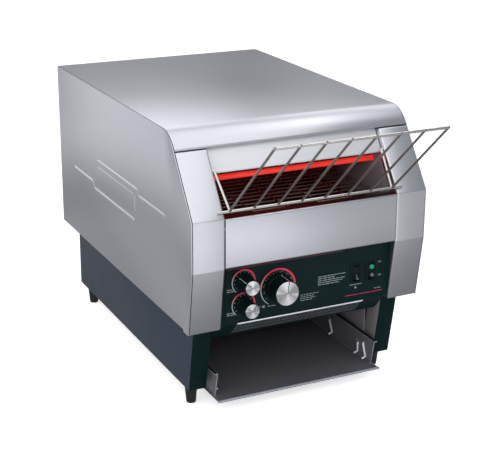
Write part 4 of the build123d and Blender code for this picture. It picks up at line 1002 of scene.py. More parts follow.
controls = {
    "labelFront": 14.6, "heatX": -100.0, "heatZ": (200.05, 166.15), "speedX": -46.5, "speedZ": 183.25,
    "modeX": 79.3, "powerX": 104.5, "switchZ": 183.05,
}
inks = {
    "crimson": (0.58, 0.005, 0.048), "salmon": (0.62, 0.17, 0.13), "silver": (0.32, 0.38, 0.43),
    "grey": (0.22, 0.26, 0.27), "pale": (0.30, 0.40, 0.37), "thinRed": (0.16, 0.006, 0.03),
}


def mixed(first, second, share):
    share = min(max(share, 0.0), 1.0)
    return tuple(a + (b - a) * share for a, b in zip(first, second))


def ribbon(first, second, y0, y1):
    # a thin band between two lines of (x, z) points, from y0 back to y1
    return skin([[(a[0], y0, a[1]), (b[0], y0, b[1]), (b[0], y1, b[1]), (a[0], y1, a[1])]
                 for a, b in zip(first, second)], True)


def bar(x0, x1, z0, z1, colour, front, back):
    return ribbon([(x0, z1), (x1, z1)], [(x0, z0), (x1, z0)], front, back), [inks[colour]] * 2


def around(x, z, radius, turn):
    # turn in degrees, clockwise from straight up as seen from the front
    a = math.radians(turn)
    return (x + radius * math.sin(a), z + radius * math.cos(a))


def ray(x, z, turn, r0, r1, wide, y0, y1):
    # a straight mark out from a dial's middle
    wx, wz = wide / 2 * math.cos(math.radians(turn)), -wide / 2 * math.sin(math.radians(turn))
    ends = [around(x, z, r, turn) for r in (r0, r1)]
    return ribbon([(u - wx, v - wz) for u, v in ends], [(u + wx, v + wz) for u, v in ends], y0, y1)


def inkPiece(name, mesh, colours):
    # one colour for each point of the mesh
    ink = mesh.attributes.new("ink", "FLOAT_COLOR", "POINT")
    ink.data.foreach_set("color", [v for colour in colours for v in (*colour, 1.0)])
    settle(shown(name, mesh), "printInk")


def dialArc(x, z, look, front, back):
    # a swelling band round a dial, silver at its thin end and crimson at its wide one
    outer, inner, colours = [], [], []
    for k in range(look["steps"] + 1):
        share = k / look["steps"]
        turn = look["start"] + (look["end"] - look["start"]) * share
        wide = look["thin"] + (look["wide"] - look["thin"]) * share ** 0.8
        outer.append(around(x, z, look["radius"], turn))
        inner.append(around(x, z, look["radius"] - wide, turn))
        colour = mixed(inks["silver"], inks["salmon"], (share - 0.20) / 0.14)
        colours.append(mixed(colour, inks["crimson"], (share - 0.32) / 0.16))
    return ribbon(outer, inner, front, back), colours


def words(x0, x1, z, tall, seed, front, back):
    # a line of short plain dashes where small print would be
    state, out, x = seed, [], x0
    while x < x1 - 1.5:
        state = (state * 1103515245 + 12345) % 2147483648
        end = min(x + 2.6 + 5.0 * (state / 2147483648), x1)
        out.append(bar(x, end, z, z + tall, "grey", front, back))
        x = end + 1.1
    return out


def numeral(text, x, z, size, front):
    # a figure as a thin mesh, lying on the label
    data = bpy.data.curves.new("numeral", "FONT")
    data.body, data.size, data.extrude = text, size * mm, 0.03 * mm
    data.align_x = data.align_y = "CENTER"
    data.resolution_u = 3
    figure = shown("numeral", data)
    bpy.context.view_layer.update()
    mesh = bpy.data.meshes.new_from_object(figure.evaluated_get(bpy.context.evaluated_depsgraph_get()))
    bpy.data.objects.remove(figure)
    mesh.transform(Matrix.Translation(spot(x, front, z)) @ Matrix.Rotation(math.radians(90), 4, "X"))
    return mesh


def joined(name, meshes):
    form = bmesh.new()
    for mesh in meshes:
        form.from_mesh(mesh)
    bmesh.ops.remove_doubles(form, verts=form.verts, dist=1e-7)
    out = bpy.data.meshes.new(name)
    form.to_mesh(out)
    form.free()
    return out


def makePrint(look):
    front, back = look["front"], look["back"]
    strips, figures = [], [numeral(*word, look["figureFront"]) for word in look["plainWords"]]
    for dial in look["dials"]:
        x, z, radius = dial["x"], dial["z"], dial["arc"]["radius"]
        strips.append(dialArc(x, z, dial["arc"], front, back))
        start, swing = dial["tickStart"], dial["tickEnd"] - dial["tickStart"]
        for k in range(dial["ticks"]):
            tick = ray(x, z, start + swing * k / (dial["ticks"] - 1), radius - dial["tickOut"],
                       radius - dial["tickIn"], dial["tickWide"], front, back)
            strips.append((tick, [inks["pale"]] * 2))
        for k, text in enumerate(dial["figures"]):
            turn = start + swing * k / (len(dial["figures"]) - 1)
            figures.append(numeral(text, *around(x, z, dial["figureAt"], turn), dial["figureTall"],
                                   look["figureFront"]))
    strips.append(bar(*look["stripe"], "thinRed", front, back))
    for x0, x1 in look["footBars"]["spans"]:
        strips.append(bar(x0, x1, *look["footBars"]["z"], "crimson", front, back))
    for seed, line in enumerate(look["lines"]):
        strips += words(*line, 7 + seed * 31, front, back)
    for x, z, half in look["badges"]:
        strips.append(bar(x - half, x + half, z - half, z + half, "grey", front, back))
    points, faces = merged([part for part, colours in strips])
    mesh = cleanMesh("panelPrint", [spot(*p) for p in points], faces, weld=False)
    inkPiece("panelPrint", mesh, [tint for part, colours in strips for tint in colours
                                  for corner in range(4)])
    mesh = joined("panelFigures", figures)
    inkPiece("panelFigures", mesh, [inks["pale"]] * len(mesh.vertices))


smallArc = {"radius": 18.2, "start": -140, "end": 96, "thin": 0.7, "wide": 2.7, "steps": 48}
smallDial = {"arc": smallArc, "ticks": 9, "tickStart": -125, "tickEnd": 85, "tickOut": 3.6, "tickIn": 5.0,
             "tickWide": 0.5, "figures": "13579", "figureAt": 14.0, "figureTall": 2.2}
makePrint({
    "front": 14.53, "back": 14.62, "figureFront": 14.55,
    "dials": [
        {**smallDial, "x": controls["heatX"], "z": controls["heatZ"][0]},
        {**smallDial, "x": controls["heatX"], "z": controls["heatZ"][1], "arc": {**smallArc, "end": 100}},
        {"x": controls["speedX"], "z": controls["speedZ"],
         "arc": {"radius": 28.0, "start": -148, "end": 98, "thin": 0.8, "wide": 3.6, "steps": 64},
         "ticks": 10, "tickStart": -130, "tickEnd": 90, "tickOut": 4.4, "tickIn": 5.6, "tickWide": 0.6,
         "figures": "123456789", "figureAt": 22.0, "figureTall": 2.6}],
    "stripe": (-126.5, 56.0, 220.6, 221.4),
    "footBars": {"z": (150.0, 150.7), "spans": [(62.6, 84.0), (85.2, 106.0), (107.2, 125.4)]},
    "lines": [(-125.5, -117.0, 190.4, 1.1), (-125.5, -114.5, 187.6, 1.1),
              (-125.5, -115.0, 155.6, 1.1), (-125.5, -114.0, 152.8, 1.1),
              (-77.5, -73.0, 157.6, 1.0), (-62.5, -50.5, 156.2, 0.9),
              (-10.5, 18.5, 164.0, 0.8), (-10.5, 11.0, 161.2, 0.8), (-10.5, 14.0, 158.4, 0.8),
              (-10.5, 8.0, 155.6, 0.8),
              (17.2, 62.0, 186.6, 1.0), (17.2, 44.0, 183.6, 1.0), (17.2, 61.0, 180.6, 1.0),
              (17.2, 57.0, 177.6, 1.0), (17.2, 52.0, 174.6, 1.0),
              (69.6, 89.6, 165.6, 1.1), (111.0, 124.6, 154.6, 0.8)],  # from, to, height, how tall
    "badges": [(-69.0, 157.4, 1.7), (79.6, 161.2, 1.4)],
    "plainWords": [("ON", 119.0, 195.0, 3.0), ("OFF", 119.6, 174.6, 3.0)],
})


def knobShape(x, z, look):
    # fluted grip over a wider skirt, hollow behind; each point has its share of the flutes' dip
    front, rear, grip, skirt = look["front"], look["rear"], look["grip"] / 2, look["skirt"] / 2
    hollow, roof, stem, foot = skirt - 2.0, rear - 6.0, 3.5, rear + 12.0
    profile = [
        (0.0, front + 0.5, 0), (grip - 1.2, front + 0.5, 0), (grip - 1.0, front, 0), (grip - 0.45, front, 0),
        (grip - 0.12, front + 0.25, 0.2), (grip, front + 0.8, 1), (grip, front + 6.0, 1),
        (grip, rear - 5.4, 1), (grip + 0.3, rear - 4.6, 0.3), (skirt - 0.7, rear - 3.7, 0),
        (skirt - 0.15, rear - 3.2, 0), (skirt, rear - 2.6, 0), (skirt, rear - 0.4, 0), (skirt - 0.3, rear, 0),
        (hollow, rear, 0), (hollow, roof, 0), (stem, roof, 0), (stem, foot, 0), (0.0, foot, 0)]
    rings = []
    for k, (c, s) in enumerate(circle(look["flutes"] * look["perFlute"])):
        dip = look["dip"] * (0.5 - 0.5 * math.cos(2 * math.pi * k / look["perFlute"])) ** 1.5
        rings.append([(x + (r - dip * share) * c, y, z + (r - dip * share) * s) for r, y, share in profile])
    return skin(rings + [rings[0]], False, closed=False)


def capShape(x, z, front, radius, grooves, deep):
    # spun disc with turned grooves that catch the light in rays
    profile, step = [(0.0, front + 0.05)], (radius - 0.7) / grooves
    for k in range(grooves):
        profile += [(step * (k + 0.5), front + 0.05 + deep), (step * (k + 1.0), front + 0.05)]
    profile += [(radius - 0.35, front + 0.05), (radius, front + 0.4), (radius, front + 1.4),
                (0.0, front + 1.4)]
    return lathe((x, 0.0, z), profile, 96)


def makeKnob(body, title, x, z, look):
    face, rear, turn = look["front"] - 1.4, look["rear"], look["turn"]
    grip, skirt, wide = look["grip"] / 2, look["skirt"] / 2, look["lineWide"]
    newPiece(title + "Body", [knobShape(x, z, look)], "knobPlastic", body, body, smooth=32.0)
    newPiece(title + "Cap", [capShape(x, z, face, grip - 1.0, look["grooves"], look["grooveDeep"])],
             body + "_cap", body + "_cap", body, smooth=60.0)
    mark = ray(x, z, turn, 0.6, grip - 1.2, look["markWide"], face, face + 0.5)
    newPiece(title + "Mark", [mark], "knobPlastic", None, body)
    lines = [ray(x, z, turn, grip - 0.2, skirt - 0.5, wide, rear - 4.75, rear - 3.0),
             ray(x, z, turn, grip - 0.25, grip + 0.06, wide, look["front"] + 0.9, rear - 4.7)]
    newPiece(title + "Line", lines, "whitePaint", None, body)


heatKnob = {"front": -13.0, "rear": 13.1, "grip": 23.0, "skirt": 26.0, "flutes": 24, "perFlute": 6,
            "dip": 0.45, "grooves": 10, "grooveDeep": 0.06, "markWide": 0.8, "lineWide": 0.9, "turn": -48}
makeKnob("top_heat_knob", "upperHeat", controls["heatX"], controls["heatZ"][0], heatKnob)
makeKnob("bottom_heat_knob", "lowerHeat", controls["heatX"], controls["heatZ"][1], {**heatKnob, "turn": 38})
makeKnob("speed_knob", "beltSpeed", controls["speedX"], controls["speedZ"], {
    **heatKnob, "grip": 37.0, "skirt": 41.0, "flutes": 36, "grooves": 17, "markWide": 1.0, "turn": 8})
print("dials, print and knobs made")


switch = {
    "wide": 17.0, "tall": 28.0, "flange": 1.8, "lip": 1.4, "wall": 1.6, "setback": 4.0, "deep": 26.0,
    "back": 8.0, "radius": 12.0, "waist": 7.0, "dish": 2.2, "tilt": 10.0, "faceEnd": 12.5,
}
pivot = controls["labelFront"] + switch["setback"]


def framed(x, z, half, tall, radius):
    # a rounded rectangle of (x, z) points
    corners = [(x - half, z - tall), (x + half, z - tall), (x + half, z + tall), (x - half, z + tall)]
    return rounded(corners, [radius] * 4, 5)


def rockerOutline(look):
    # side view of a rocker about its pivot: two front faces, round ends and a flat back
    r, waist, dish = look["radius"], look["waist"], look["dish"]
    middle = Vector((-waist + dish, 0.0))
    up = Vector((-waist - dish, look["faceEnd"])) - middle
    half = middle.dot(up) / up.dot(up)
    top = middle + up * (math.sqrt(half * half - (middle.dot(middle) - r * r) / up.dot(up)) - half)
    a0, a1 = math.atan2(top.y, top.x), math.atan2(math.sqrt(r * r - waist * waist), waist)
    upper = [(r * math.cos(a), r * math.sin(a)) for a in (a0 + (a1 - a0) * k / 10 for k in range(11))]
    return [tuple(middle)] + upper + [(y, -z) for y, z in upper[::-1]]


def tipped(back, up):
    # a point about the pivot, tipped so that the upper half goes in
    a = math.radians(switch["tilt"])
    return back * math.cos(a) + up * math.sin(a), -back * math.sin(a) + up * math.cos(a)


def onRocker(x, along, out):
    # on a rocker's lower front face: that far down from its middle, and out of the face
    waist, dish = switch["waist"], switch["dish"]
    middle = Vector((-waist + dish, 0.0))
    down = (Vector((-waist - dish, -switch["faceEnd"])) - middle).normalized()
    point = middle + down * along + Vector((down.y, -down.x)) * out
    y, z = tipped(point.x, point.y)
    return (x, pivot + y, controls["switchZ"] + z)


def ringMark(x, look):
    inner, outer = look["radius"] - look["line"], look["radius"]
    edge = [(outer, -0.2), (outer, look["proud"]), (inner, look["proud"]), (inner, -0.2)]
    rings = [[onRocker(x + r * c, look["at"] + r * s, out) for r, out in edge] for c, s in circle(32)]
    return skin(rings + [rings[0]], False)


def barMark(x, look):
    half = look["line"] / 2
    return skin([[onRocker(x + side * half, look["at"] + end * look["radius"], out)
                  for side, out in ((-1, -0.2), (1, -0.2), (1, look["proud"]), (-1, look["proud"]))]
                 for end in (-1, 1)], True)


def makeSwitch(title, x, rings, bars):
    front, z, lip = controls["labelFront"], controls["switchZ"], -switch["lip"]
    half, tall = switch["wide"] / 2, switch["tall"] / 2
    inside, inTall = half - switch["flange"] - switch["wall"], switch["radius"] + 0.3
    behind, behindTall = half - switch["flange"], tall - switch["flange"]
    loops = [  # half width, half height, corner and depth, round the edge of the frame
        (behind, behindTall, 0.6, switch["deep"]), (behind, behindTall, 0.6, 0.0), (half, tall, 1.4, 0.0),
        (half, tall, 1.4, lip + 0.35), (half - 0.35, tall - 0.35, 1.1, lip),
        (inside + 0.4, inTall + 0.4, 0.9, lip), (inside, inTall, 0.6, lip + 0.5),
        (inside, inTall, 0.6, switch["deep"] - switch["back"])]
    shell = skin([[(u, front + y, v) for u, v in framed(x, z, wide, high, corner)]
                  for wide, high, corner, y in loops], True)
    newPiece(title + "Frame", [shell], "switchPlastic", title + "_switch_housing", smooth=35.0)
    outline = [tipped(y, up) for y, up in rockerOutline(switch)]
    shape = slab([(pivot + y, z + up) for y, up in outline], x - inside + 0.3, x + inside - 0.3)
    rocker = title + "_rocker"
    newPiece(title + "Rocker", [shape], "switchPlastic", rocker, rocker, bevel=0.5)
    marks = [ringMark(x, look) for look in rings] + [barMark(x, look) for look in bars]
    newPiece(title + "Mark", marks, "whitePaint", None, rocker, weld=False)


makeSwitch("mode", controls["modeX"], [{"radius": 1.3, "line": 0.45, "at": 8.4, "proud": 0.05}],
           [{"radius": 1.1, "line": 0.6, "at": 4.6, "proud": 0.05}])
makeSwitch("power", controls["powerX"], [{"radius": 2.1, "line": 0.75, "at": 6.6, "proud": 0.05}], [])


def makeLamp(look):
    # domed lens in the upper half of the power rocker
    radius, face, dome = look["radius"], look["face"], look["dome"]
    profile = [(0.0, look["seat"]), (radius, look["seat"]), (radius, face + dome)]
    turns = [math.radians(15 * k) for k in range(1, 6)]
    profile += [(radius * math.cos(a), face + dome * (1 - math.sin(a))) for a in turns] + [(0.0, face)]
    rings = []
    for c, s in circle(40):
        tilted = [(r, *tipped(y, look["up"] + r * s)) for r, y in profile]
        rings.append([(controls["powerX"] + r * c, pivot + back, controls["switchZ"] + up)
                      for r, back, up in tilted])
    newPiece("powerLamp", [skin(rings + [rings[0]], False, closed=False)], "greenLens",
             "power_lamp_lens", "power_rocker", smooth=50.0)


makeLamp({"radius": 3.5, "seat": -5.0, "face": -9.2, "dome": 1.2, "up": 6.0})
print("switches made")


intake = {
    "top": (30.0, 132.0), "low": (52.0, 107.0), "lipHalf": 102.0, "lip": 2.98, "half": 136.7, "thick": 1.2,
    "ledge": 137.1, "ceiling": 443.0, "columns": 30, "rows": 3, "cell": (6.8, 9.4), "slot": (8.6, 3.0),
    "turn": 52.0,
}
tray = {
    "front": 24.0, "rear": 324.0, "floor": 17.0, "top": 57.0, "wall": 129.0, "outer": 133.0, "hem": 3.2,
    "flange": 5.0, "wallFront": 36.0, "slotTop": 12.0, "slotFoot": 33.0, "shadeStrip": 0.8, "wire": 2.8,
    "slots": ((81, 80, 37), (66, 57, 43), (171, 159, 41)),  # back at the top and the foot, height of the top
}


def makeIntakeLip(look):
    # the lip's pale bluish colour is a painted highlight along the grille's top edge
    (y, z), half = look["top"], look["lipHalf"]
    newPiece("intakeLip", [tube([(-half, y, z), (half, y, z)], look["lip"], 20)], "glintTrim",
             smooth=40.0)


def makeTrayWires(look):
    # bent wires hooked through the slots of both walls, their pale colour a painted highlight
    parts = []
    footZ = look["top"] - look["slotFoot"] + 0.5
    for side in (-1, 1):
        x, inside, toe = [side * (look["wall"] + step) for step in (0.6, -1.3, -8.5)]
        for high, low, topZ in look["slots"]:
            high = low + (high - low) * (topZ - footZ) / (look["slotFoot"] - look["slotTop"])
            corners = [(x, high, topZ + 1.4), (inside, high, topZ), (inside, low, footZ),
                       (toe, low - 1.0, footZ - 1.6)]
            parts.append(tube(bentPath(corners, [0.7, 1.6], 4), look["wire"], 10))
    newPiece("trayWires", parts, "glintTrim", None, "collector_tray", smooth=40.0, weld=False)


def makeTrayHem(look):
    # the rolled front edge of the floor, in a lighter bluish copy of the tray's steel: painted highlight
    half, y, z = look["outer"], look["front"] + look["hem"] / 2, look["floor"] + look["hem"] / 2
    newPiece("trayHem", [tube([(-half, y, z), (half, y, z)], look["hem"], 20)], "glintHemSteel",
             None, "collector_tray", smooth=40.0)


def makeFlangeShadeStrips(look):
    # black strips along the tops of both flanges: painted shade for the dark gap between each flange and its
    # rail
    x0, x1 = look["wall"] + 0.9, look["wall"] + look["flange"] - 0.2
    low, high = look["top"] + 0.02, look["top"] + look["shadeStrip"]
    parts = [box(side * x0, side * x1, look["wallFront"] + 2.0, look["rear"] - 4.0, low, high)
             for side in (-1, 1)]
    newPiece("trayGlides", parts, "blackPaint", None, "collector_tray", bevel=0.2, weld=False)


makeIntakeLip(intake)
makeTrayWires(tray)
makeTrayHem(tray)
makeFlangeShadeStrips(tray)


def turnedBy(degrees, u, v):
    a = math.radians(degrees)
    return (u * math.cos(a) - v * math.sin(a), u * math.sin(a) + v * math.cos(a))


def cellUnit(look):
    # one cell of perforated sheet: a closed block with a slanting slot through it; y runs up the sheet
    halfX, halfY, thick = look["cell"][0] / 2 - 0.01, look["cell"][1] / 2 - 0.01, look["thick"]
    long, wide = look["slot"]
    slot = [turnedBy(look["turn"], math.copysign((long - wide) / 2, c) + wide / 2 * c, wide / 2 * s)
            for c, s in circle(16, 0.5)]
    edge = []
    for u, v in slot:
        reach = min(halfX / max(abs(u), 1e-6), halfY / max(abs(v), 1e-6))
        edge.append((reach * u, reach * v))
    for corner in ((halfX, halfY), (-halfX, halfY), (-halfX, -halfY), (halfX, -halfY)):
        near = min(range(16), key=lambda i: math.dist(edge[i], corner))
        edge[near] = corner
    rings = [[(x, y, z) for x, y in loop]
             for loop, z in ((slot, 0.0), (edge, 0.0), (edge, -thick), (slot, -thick))]
    return skin(rings + [rings[0]], False)


def lipUnit(look):
    # the turned-up edge along one side of a slot
    long, wide = look["slot"]
    rings = []
    for k in range(-3, 4):
        swell = math.sqrt(max(1 - (k / 3) ** 4, 0.02))
        ring = ((0.0, -0.4), (0.0, 0.6 * swell), (0.8 * swell, 0.5 * swell), (1.3, -0.1))
        rings.append([(*turnedBy(look["turn"], long * 0.46 * k / 3, wide / 2 + v), z) for v, z in ring])
    return skin(rings, True)


def makeGrille(look):
    # folded sheet under the controls: perforated slope, plain margins, and the ceiling over the tray
    top, low, (wide, tall) = Vector(look["top"]), Vector(look["low"]), look["cell"]
    run, along = (low - top).length, (low - top).normalized()
    out = Vector((along.y, -along.x))
    half, edge, thick = look["half"], look["columns"] * wide / 2, look["thick"]
    first = (run - look["rows"] * tall) / 2

    def slope(x, down, deep=0.0):
        return (x, *(top + along * down - out * deep))

    def plate(x0, x1, a, b):
        return skin([[slope(x, a), slope(x, b), slope(x, b, thick), slope(x, a, thick)]
                     for x in (x0, x1)], True)

    parts = [plate(-half, -edge, 0, run), plate(edge, half, 0, run), plate(-edge, edge, 0, first),
             plate(-edge, edge, run - first, run),
             box(-half, half, top.x, top.x + thick, top.y, look["ledge"]),
             box(-half, half, low.x, look["ceiling"], low.y, low.y + thick)]
    newPiece("grilleSheet", parts, "blackPaint", "intake_grille", weld=False)
    tilt = math.atan2(-along.y, -along.x)
    places = [(slope((column - (look["columns"] - 1) / 2) * wide, first + (row + 0.5) * tall),
               (tilt, 0.0, 0.0)) for row in range(look["rows"]) for column in range(look["columns"])]
    repeated("grilleCells", cellUnit(look), places, "grillePaint")
    # the lips' lighter paint is painted highlight
    repeated("grilleLips", lipUnit(look), places, "lipPaint", smooth=60.0)


makeGrille(intake)
print("tray and intake dressed")


base = {
    "front": 55.0, "lean": 10.0, "low": 29.0, "sideTop": 158.0, "postTop": 137.2, "outer": 166.0,
    "inner": 164.5, "post": 139.0, "return": 32.0, "rear": 527.0, "sheet": 1.5, "footX": 153.0,
    "feet": (78.0, 499.0),
}


def leaning(z0, z1, near, far):
    # side view of a strip of the leaning front, between two depths behind its face
    def face(z, inset):
        return (base["front"] + inset - (z - base["low"]) * math.tan(math.radians(base["lean"])), z)

    return [face(z0, near), face(z1, near), face(z1, far), face(z0, far)]


def makeBase(side):
    low, top, high, sheet = base["low"], base["sideTop"], base["postTop"], base["sheet"]
    name, post, outer = sideName[side], side * base["post"], side * base["outer"]
    outline = leaning(low, top, sheet, sheet)[:2] + [(base["rear"], top), (base["rear"], low)]
    newPiece(name + "BaseSkin", [slab(outline, side * base["inner"], outer)], "slatePaint",
             name + "_base_side", bevel=0.4)
    newPiece(name + "Post", [slab(leaning(low, high, 0.0, sheet), post, outer)], "blackPaint",
             name + "_front_post", bevel=0.5)
    fold = slab(leaning(low, high, sheet + 0.02, base["return"]), post, post + side * sheet)
    # the post's inner fold wears the liner steel, darkened as painted shade
    newPiece(name + "PostFold", [fold], "shadedLinerSteel", bevel=0.2)


def makeBaseRear():
    half, rear = base["inner"] - 0.3, base["rear"]
    part = box(-half, half, rear - base["sheet"], rear, base["low"], base["sideTop"])
    newPiece("baseBack", [part], "slatePaint", "base_rear_panel", bevel=0.4)


def footUnit(look):
    # tapered foot with a rounded sole, drawn from the floor up
    r0, r1, tall = look["sole"] / 2, look["top"] / 2, look["tall"]
    profile = [(0.0, 0.0), (r0 - 1.0, 0.0), (r0 - 0.3, 0.3), (r0, 1.0), (r1 - 0.6, tall - 2.5),
               (r1, tall - 1.6), (r1, tall), (0.0, tall)]
    return lathe((0.0, 0.0, 0.0), profile, 28, "z")


for side in (-1, 1):
    makeBase(side)
makeBaseRear()
footPlaces = [((side * base["footX"], y, 0.0), (0, 0, 0)) for side in (-1, 1) for y in base["feet"]]
repeated("roundFeet", footUnit({"sole": 14.0, "top": 20.0, "tall": 29.0}), footPlaces, "footRubber",
         "feet", smooth=40.0)
print("base made")


back = {
    "y": 555.0, "rows": 5, "first": 297.0, "pitch": 14.0, "long": 90.0, "tall": 5.0, "spread": 54.0,
    "proud": 1.9, "fan": (70.0, 186.0), "fanHoles": 35.75,
    "screw": {"radius": 3.6, "tall": 1.7, "arm": 1.8, "wide": 0.45, "recess": 0.9},
}


def louvreUnit(look):
    # pressed hood over a slot: rises from its lower edge and shelters the opening above
    half, z0, z1 = look["long"] / 2 + 2.5, -1.5, look["tall"] + 2.5
    rings = []
    for k in range(-5, 6):
        proud = max(look["proud"] * math.sqrt(1 - (k / 5) ** 8), 0.02)
        ring = [(0.0, z1), (0.45 * proud, z1 - 1.0), (0.85 * proud, z1 - 3.2), (proud, z0 + 1.2),
                (proud, z0), (0.55 * proud, z0), (0.4 * proud, z1 - 3.0), (-0.3, z1 - 0.4)]
        rings.append([(half * k / 5, y, z) for y, z in ring])
    return skin(rings, True)


def crossHead(look):
    # domed screw head with a tapered cross in it
    r, tall, arm, wide = look["radius"], look["tall"], look["arm"], look["wide"]
    cross = [turnedBy(90 * k, u, v) for k in range(4) for u, v in ((arm, -wide), (arm, wide), (wide, wide))]
    rings = [[(radius * x / math.hypot(x, y), radius * y / math.hypot(x, y), z) for x, y in cross]
             for radius, z in ((r * 0.9, 0.0), (r, 0.25 * tall), (r * 0.93, 0.62 * tall),
                               (r * 0.72, 0.9 * tall))]
    rings += [[(x, y, tall) for x, y in cross],
              [(x * 0.75, y * 0.75, tall - look["recess"]) for x, y in cross]]
    return skin(rings, True)


def makeBack(look):
    y, (fanX, fanZ), step = look["y"], look["fan"], look["fanHoles"]
    hoods = [((x, y, look["first"] + row * look["pitch"]), (0, 0, 0))
             for row in range(look["rows"]) for x in (-look["spread"], look["spread"])]
    repeated("louvres", louvreUnit(look), hoods, "hoodSteel", smooth=50.0)
    head, out = crossHead(look["screw"]), (-math.pi / 2, 0, math.pi)
    spots = [(x, z) for x in (-172.0, 0.0, 172.0) for z in (150.0, 397.0)]
    spots += [(x, z) for x in (-172.0, 172.0) for z in (235.0, 315.0)]
    spots += [(fanX + x * step, fanZ + z * step) for x in (-1, 1) for z in (-1, 1)]
    under = [((x, y, base["low"]), (math.pi, 0, 0)) for x in (-142.0, 142.0) for y in (120.0, 300.0, 470.0)]
    for name, places, seed in (
            ("backScrews", [((x, y, z), out) for x, z in spots], 7),
            ("baseScrews", [((x, base["rear"], z), out)
                            for x in (-150.0, 0.0, 150.0) for z in (40.0, 128.0)], 11),
            ("underScrews", under, 5)):
        repeated(name, head, places, "machinedSteel", spin=1.5, seed=seed)


makeBack(back)
print("back dressed")


def makeFloor(look):
    # a pale floor that curves up into a wall all round
    material, tree, shader = newMaterial("paleFloor")
    mottle = noise(tree, objectPlace(tree), look["mottle"], 3.0, 0.55)
    feedAll(tree, shader, Base_Color=mixColour(tree, mottle, look["dark"], look["light"]),
            Roughness=look["rough"], Specular_IOR_Level=0.0, Emission_Color=(1, 1, 1),
            Emission_Strength=look["lift"])
    flat, curve = look["flat"], look["curve"]
    turns = [math.radians(7.5 * k) for k in range(13)]
    profile = [(0.0, 0.0)] + [(flat + curve * math.sin(a), curve * (1 - math.cos(a))) for a in turns]
    profile.append((flat + curve, look["wall"]))
    rings = [[(r * c, r * s, z) for r, z in profile] for c, s in circle(64)]
    points, faces = skin(rings + [rings[0]], False, closed=False)
    mesh = bpy.data.meshes.new("floor")
    mesh.from_pydata(points, [], faces)
    mesh.shade_smooth()
    mesh.materials.append(material)
    floor = shown("floor", mesh)
    floor.visible_glossy = False


makeFloor({"mottle": 4.0, "dark": (0.80, 0.80, 0.80), "light": (0.86, 0.86, 0.86), "rough": 0.6, "lift": 0.55,
           "flat": 5.0, "curve": 2.5, "wall": 7.0})


def makeCamera(look):
    azimuth, elevation = math.radians(look["azimuth"]), math.radians(look["elevation"])
    back = Vector((math.sin(azimuth) * math.cos(elevation),
                   -math.cos(azimuth) * math.cos(elevation), math.sin(elevation)))
    level = Vector((0, 0, 1)).cross(back).normalized()
    right = Matrix.Rotation(math.radians(look["roll"]), 3, back) @ level
    data = bpy.data.cameras.new("camera")
    data.lens, data.sensor_width, data.clip_start = look["lens"], 36, 0.01
    data.shift_x, data.shift_y = look["shift"]
    data.dof.use_dof = False
    eye = shown("camera", data)
    basis = Matrix((right, back.cross(right), back)).transposed()
    eye.matrix_world = Matrix.Translation(look["place"]) @ basis.to_4x4()
    scene.camera = eye


makeCamera({
    "place": (-0.7972, frontFace - 1.4161, 0.8246), "azimuth": -26.25, "elevation": 18.74, "roll": 0.42,
    "lens": 89.45, "shift": (0.0008, -0.0022)})


# studio light: areas that light everything, and cards that only polished surfaces see
studio = {
    "world": ((0.90, 0.93, 1.0), 0.34), "tint": (0.965, 0.965, 1.0),
    "lamps": {  # place, what it faces, size and power
        "overhead": ((-0.40, -0.75, 1.55), (-0.40, -0.75, 0), (2.6, 2.4), 20.4),
        "leftFill": ((-2.3, -0.9, 1.0), (0, 0, 0.25), (1.4, 1.4), 9.0),
        "frontFill": ((-0.9, -2.6, 1.3), (0, 0, 0.25), (1.2, 1.0), 7.0)},
    "cards": {  # corner, two sides and cells along a side
        "roofCard": ((0.3, -0.3, 1.57), (1.3, 0, 0), (0, 0.75, 0), 16),
        "slopeCard": ((-1.6, frontFace + 2.0, 2.5), (4.6, 0, 0), (0, -1.35, -0.9), 16),
        "floorCard": ((-1.9, -1.9, 0.0006), (3.8, 0, 0), (0, 3.8, 0), 48),
        "backCard": ((-1.6, frontFace + 2.0, 0.0), (4.6, 0, 0), (0, 0, 2.5), 24)},
    "floorGlow": [(0.0, 0.16), (0.12, 0.26), (0.30, 0.42), (0.58, 1.28), (1.0, 1.70)],
    "sideGlow": [(0.0, 0.42), (0.12, 0.50), (0.22, 0.40), (0.32, 0.34), (0.44, 0.40), (0.60, 0.54),
                 (0.8, 0.72), (1.0, 0.8)],
    "rightFall": [(0.0, 1.0), (0.2, 1.0), (0.55, 0.45), (1.0, 0.35)],
    "backGlow": [(0.0, 0.34), (0.3, 0.34), (0.6, 0.26), (0.93, 0.14), (1.05, 0.24), (1.12, 1.62),
                 (1.4, 1.78), (1.9, 1.4)],
    "backFall": [(0.2, 1.15), (0.7, 0.95), (0.85, 0.54), (0.98, 0.54), (1.12, 0.98), (1.8, 0.9)],
    "backLeft": -0.3,
    "sideBack": [(0.0, 0.95), (0.4, 0.95), (0.8, 0.85), (1.5, 0.40), (2.5, 0.30)],
    "slopeGlow": 0.75,
    "roofGlow": [(0.3, 0.52), (0.55, 0.56), (0.72, 1.10), (0.8, 1.40), (1.0, 1.35), (1.3, 0.95), (1.6, 0.70)],
    "toasterHalf": 0.18, "toasterDeep": 0.75,
}


def ramp(value, stops):
    # straight lines between (value, result) stops
    for (v0, r0), (v1, r1) in zip(stops, stops[1:]):
        if value <= v1:
            return r0 + (r1 - r0) * max(0.0, (value - v0) / (v1 - v0))
    return stops[-1][1]


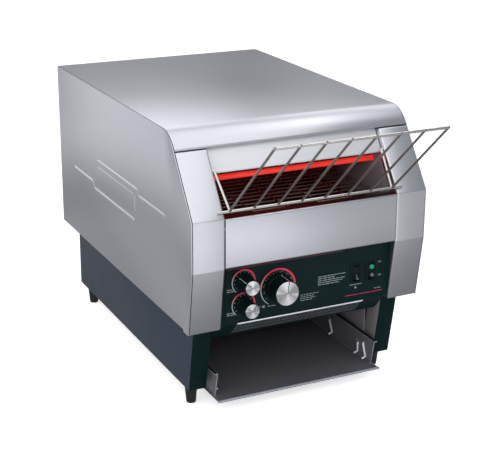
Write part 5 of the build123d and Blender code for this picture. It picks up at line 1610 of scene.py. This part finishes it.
def glowAt(name, point, look):
    # how bright a card is at a point
    if name == "roofCard":
        return ramp(point.x, look["roofGlow"])
    if name == "slopeCard":
        return look["slopeGlow"]
    if name == "backCard":
        if point.x < look["backLeft"]:
            return ramp(point.z, look["sideBack"])
        return ramp(point.z, look["backGlow"]) * ramp(point.x, look["backFall"])
    # the floor is dim beside the toaster, bright further out, and falls off to the right in front
    back = point.y - frontFace
    aside = max(abs(point.x) - look["toasterHalf"], 0.0, back - look["toasterDeep"])
    if back < 0:
        return ramp(math.hypot(back, aside), look["floorGlow"]) * ramp(point.x, look["rightFall"])
    return ramp(aside, look["sideGlow"])


def softCard(name, look):
    corner, across, along, cells = look["cards"][name]
    corner, across, along, row = Vector(corner), Vector(across), Vector(along), cells + 1
    points = [corner + across * (i / cells) + along * (j / cells) for j in range(row) for i in range(row)]
    faces = [(j * row + i, j * row + i + 1, (j + 1) * row + i + 1, (j + 1) * row + i)
             for j in range(cells) for i in range(cells)]
    mesh = bpy.data.meshes.new(name)
    mesh.from_pydata(points, [], faces)
    glow = mesh.attributes.new("glow", "FLOAT_COLOR", "POINT")
    for k, point in enumerate(points):
        glow.data[k].color = (*(glowAt(name, point, look) * t for t in look["tint"]), 1)
    material = bpy.data.materials.new(name)
    material.use_nodes = True
    tree = material.node_tree
    tree.nodes.remove(tree.nodes["Principled BSDF"])
    read = addNode(tree, "ShaderNodeAttribute", attribute_name="glow").outputs["Color"]
    emission = addNode(tree, "ShaderNodeEmission", Color=read).outputs[0]
    tree.links.new(emission, tree.nodes["Material Output"].inputs["Surface"])
    mesh.materials.append(material)
    card = shown(name, mesh)
    card.visible_camera = card.visible_diffuse = card.visible_shadow = card.visible_transmission = False


def areaLight(name, place, target, size, power):
    data = bpy.data.lights.new(name, "AREA")
    data.shape = "RECTANGLE"
    data.size, data.size_y = size
    data.energy = power
    lamp = shown(name, data)
    away = (Vector(place) - Vector(target)).normalized()
    lamp.matrix_world = Matrix.Translation(place) @ away.to_track_quat("Z", "Y").to_matrix().to_4x4()


def makeStudio(look):
    world = bpy.data.worlds.new("studio")
    world.use_nodes = True
    colour, strength = look["world"]
    feedAll(world.node_tree, world.node_tree.nodes["Background"].inputs, Color=colour, Strength=strength)
    scene.world = world
    for name, lamp in look["lamps"].items():
        areaLight(name, *lamp)
    for name in look["cards"]:
        softCard(name, look)
    scene.view_settings.view_transform = "Standard"


makeStudio(studio)
print("floor, camera and light made")
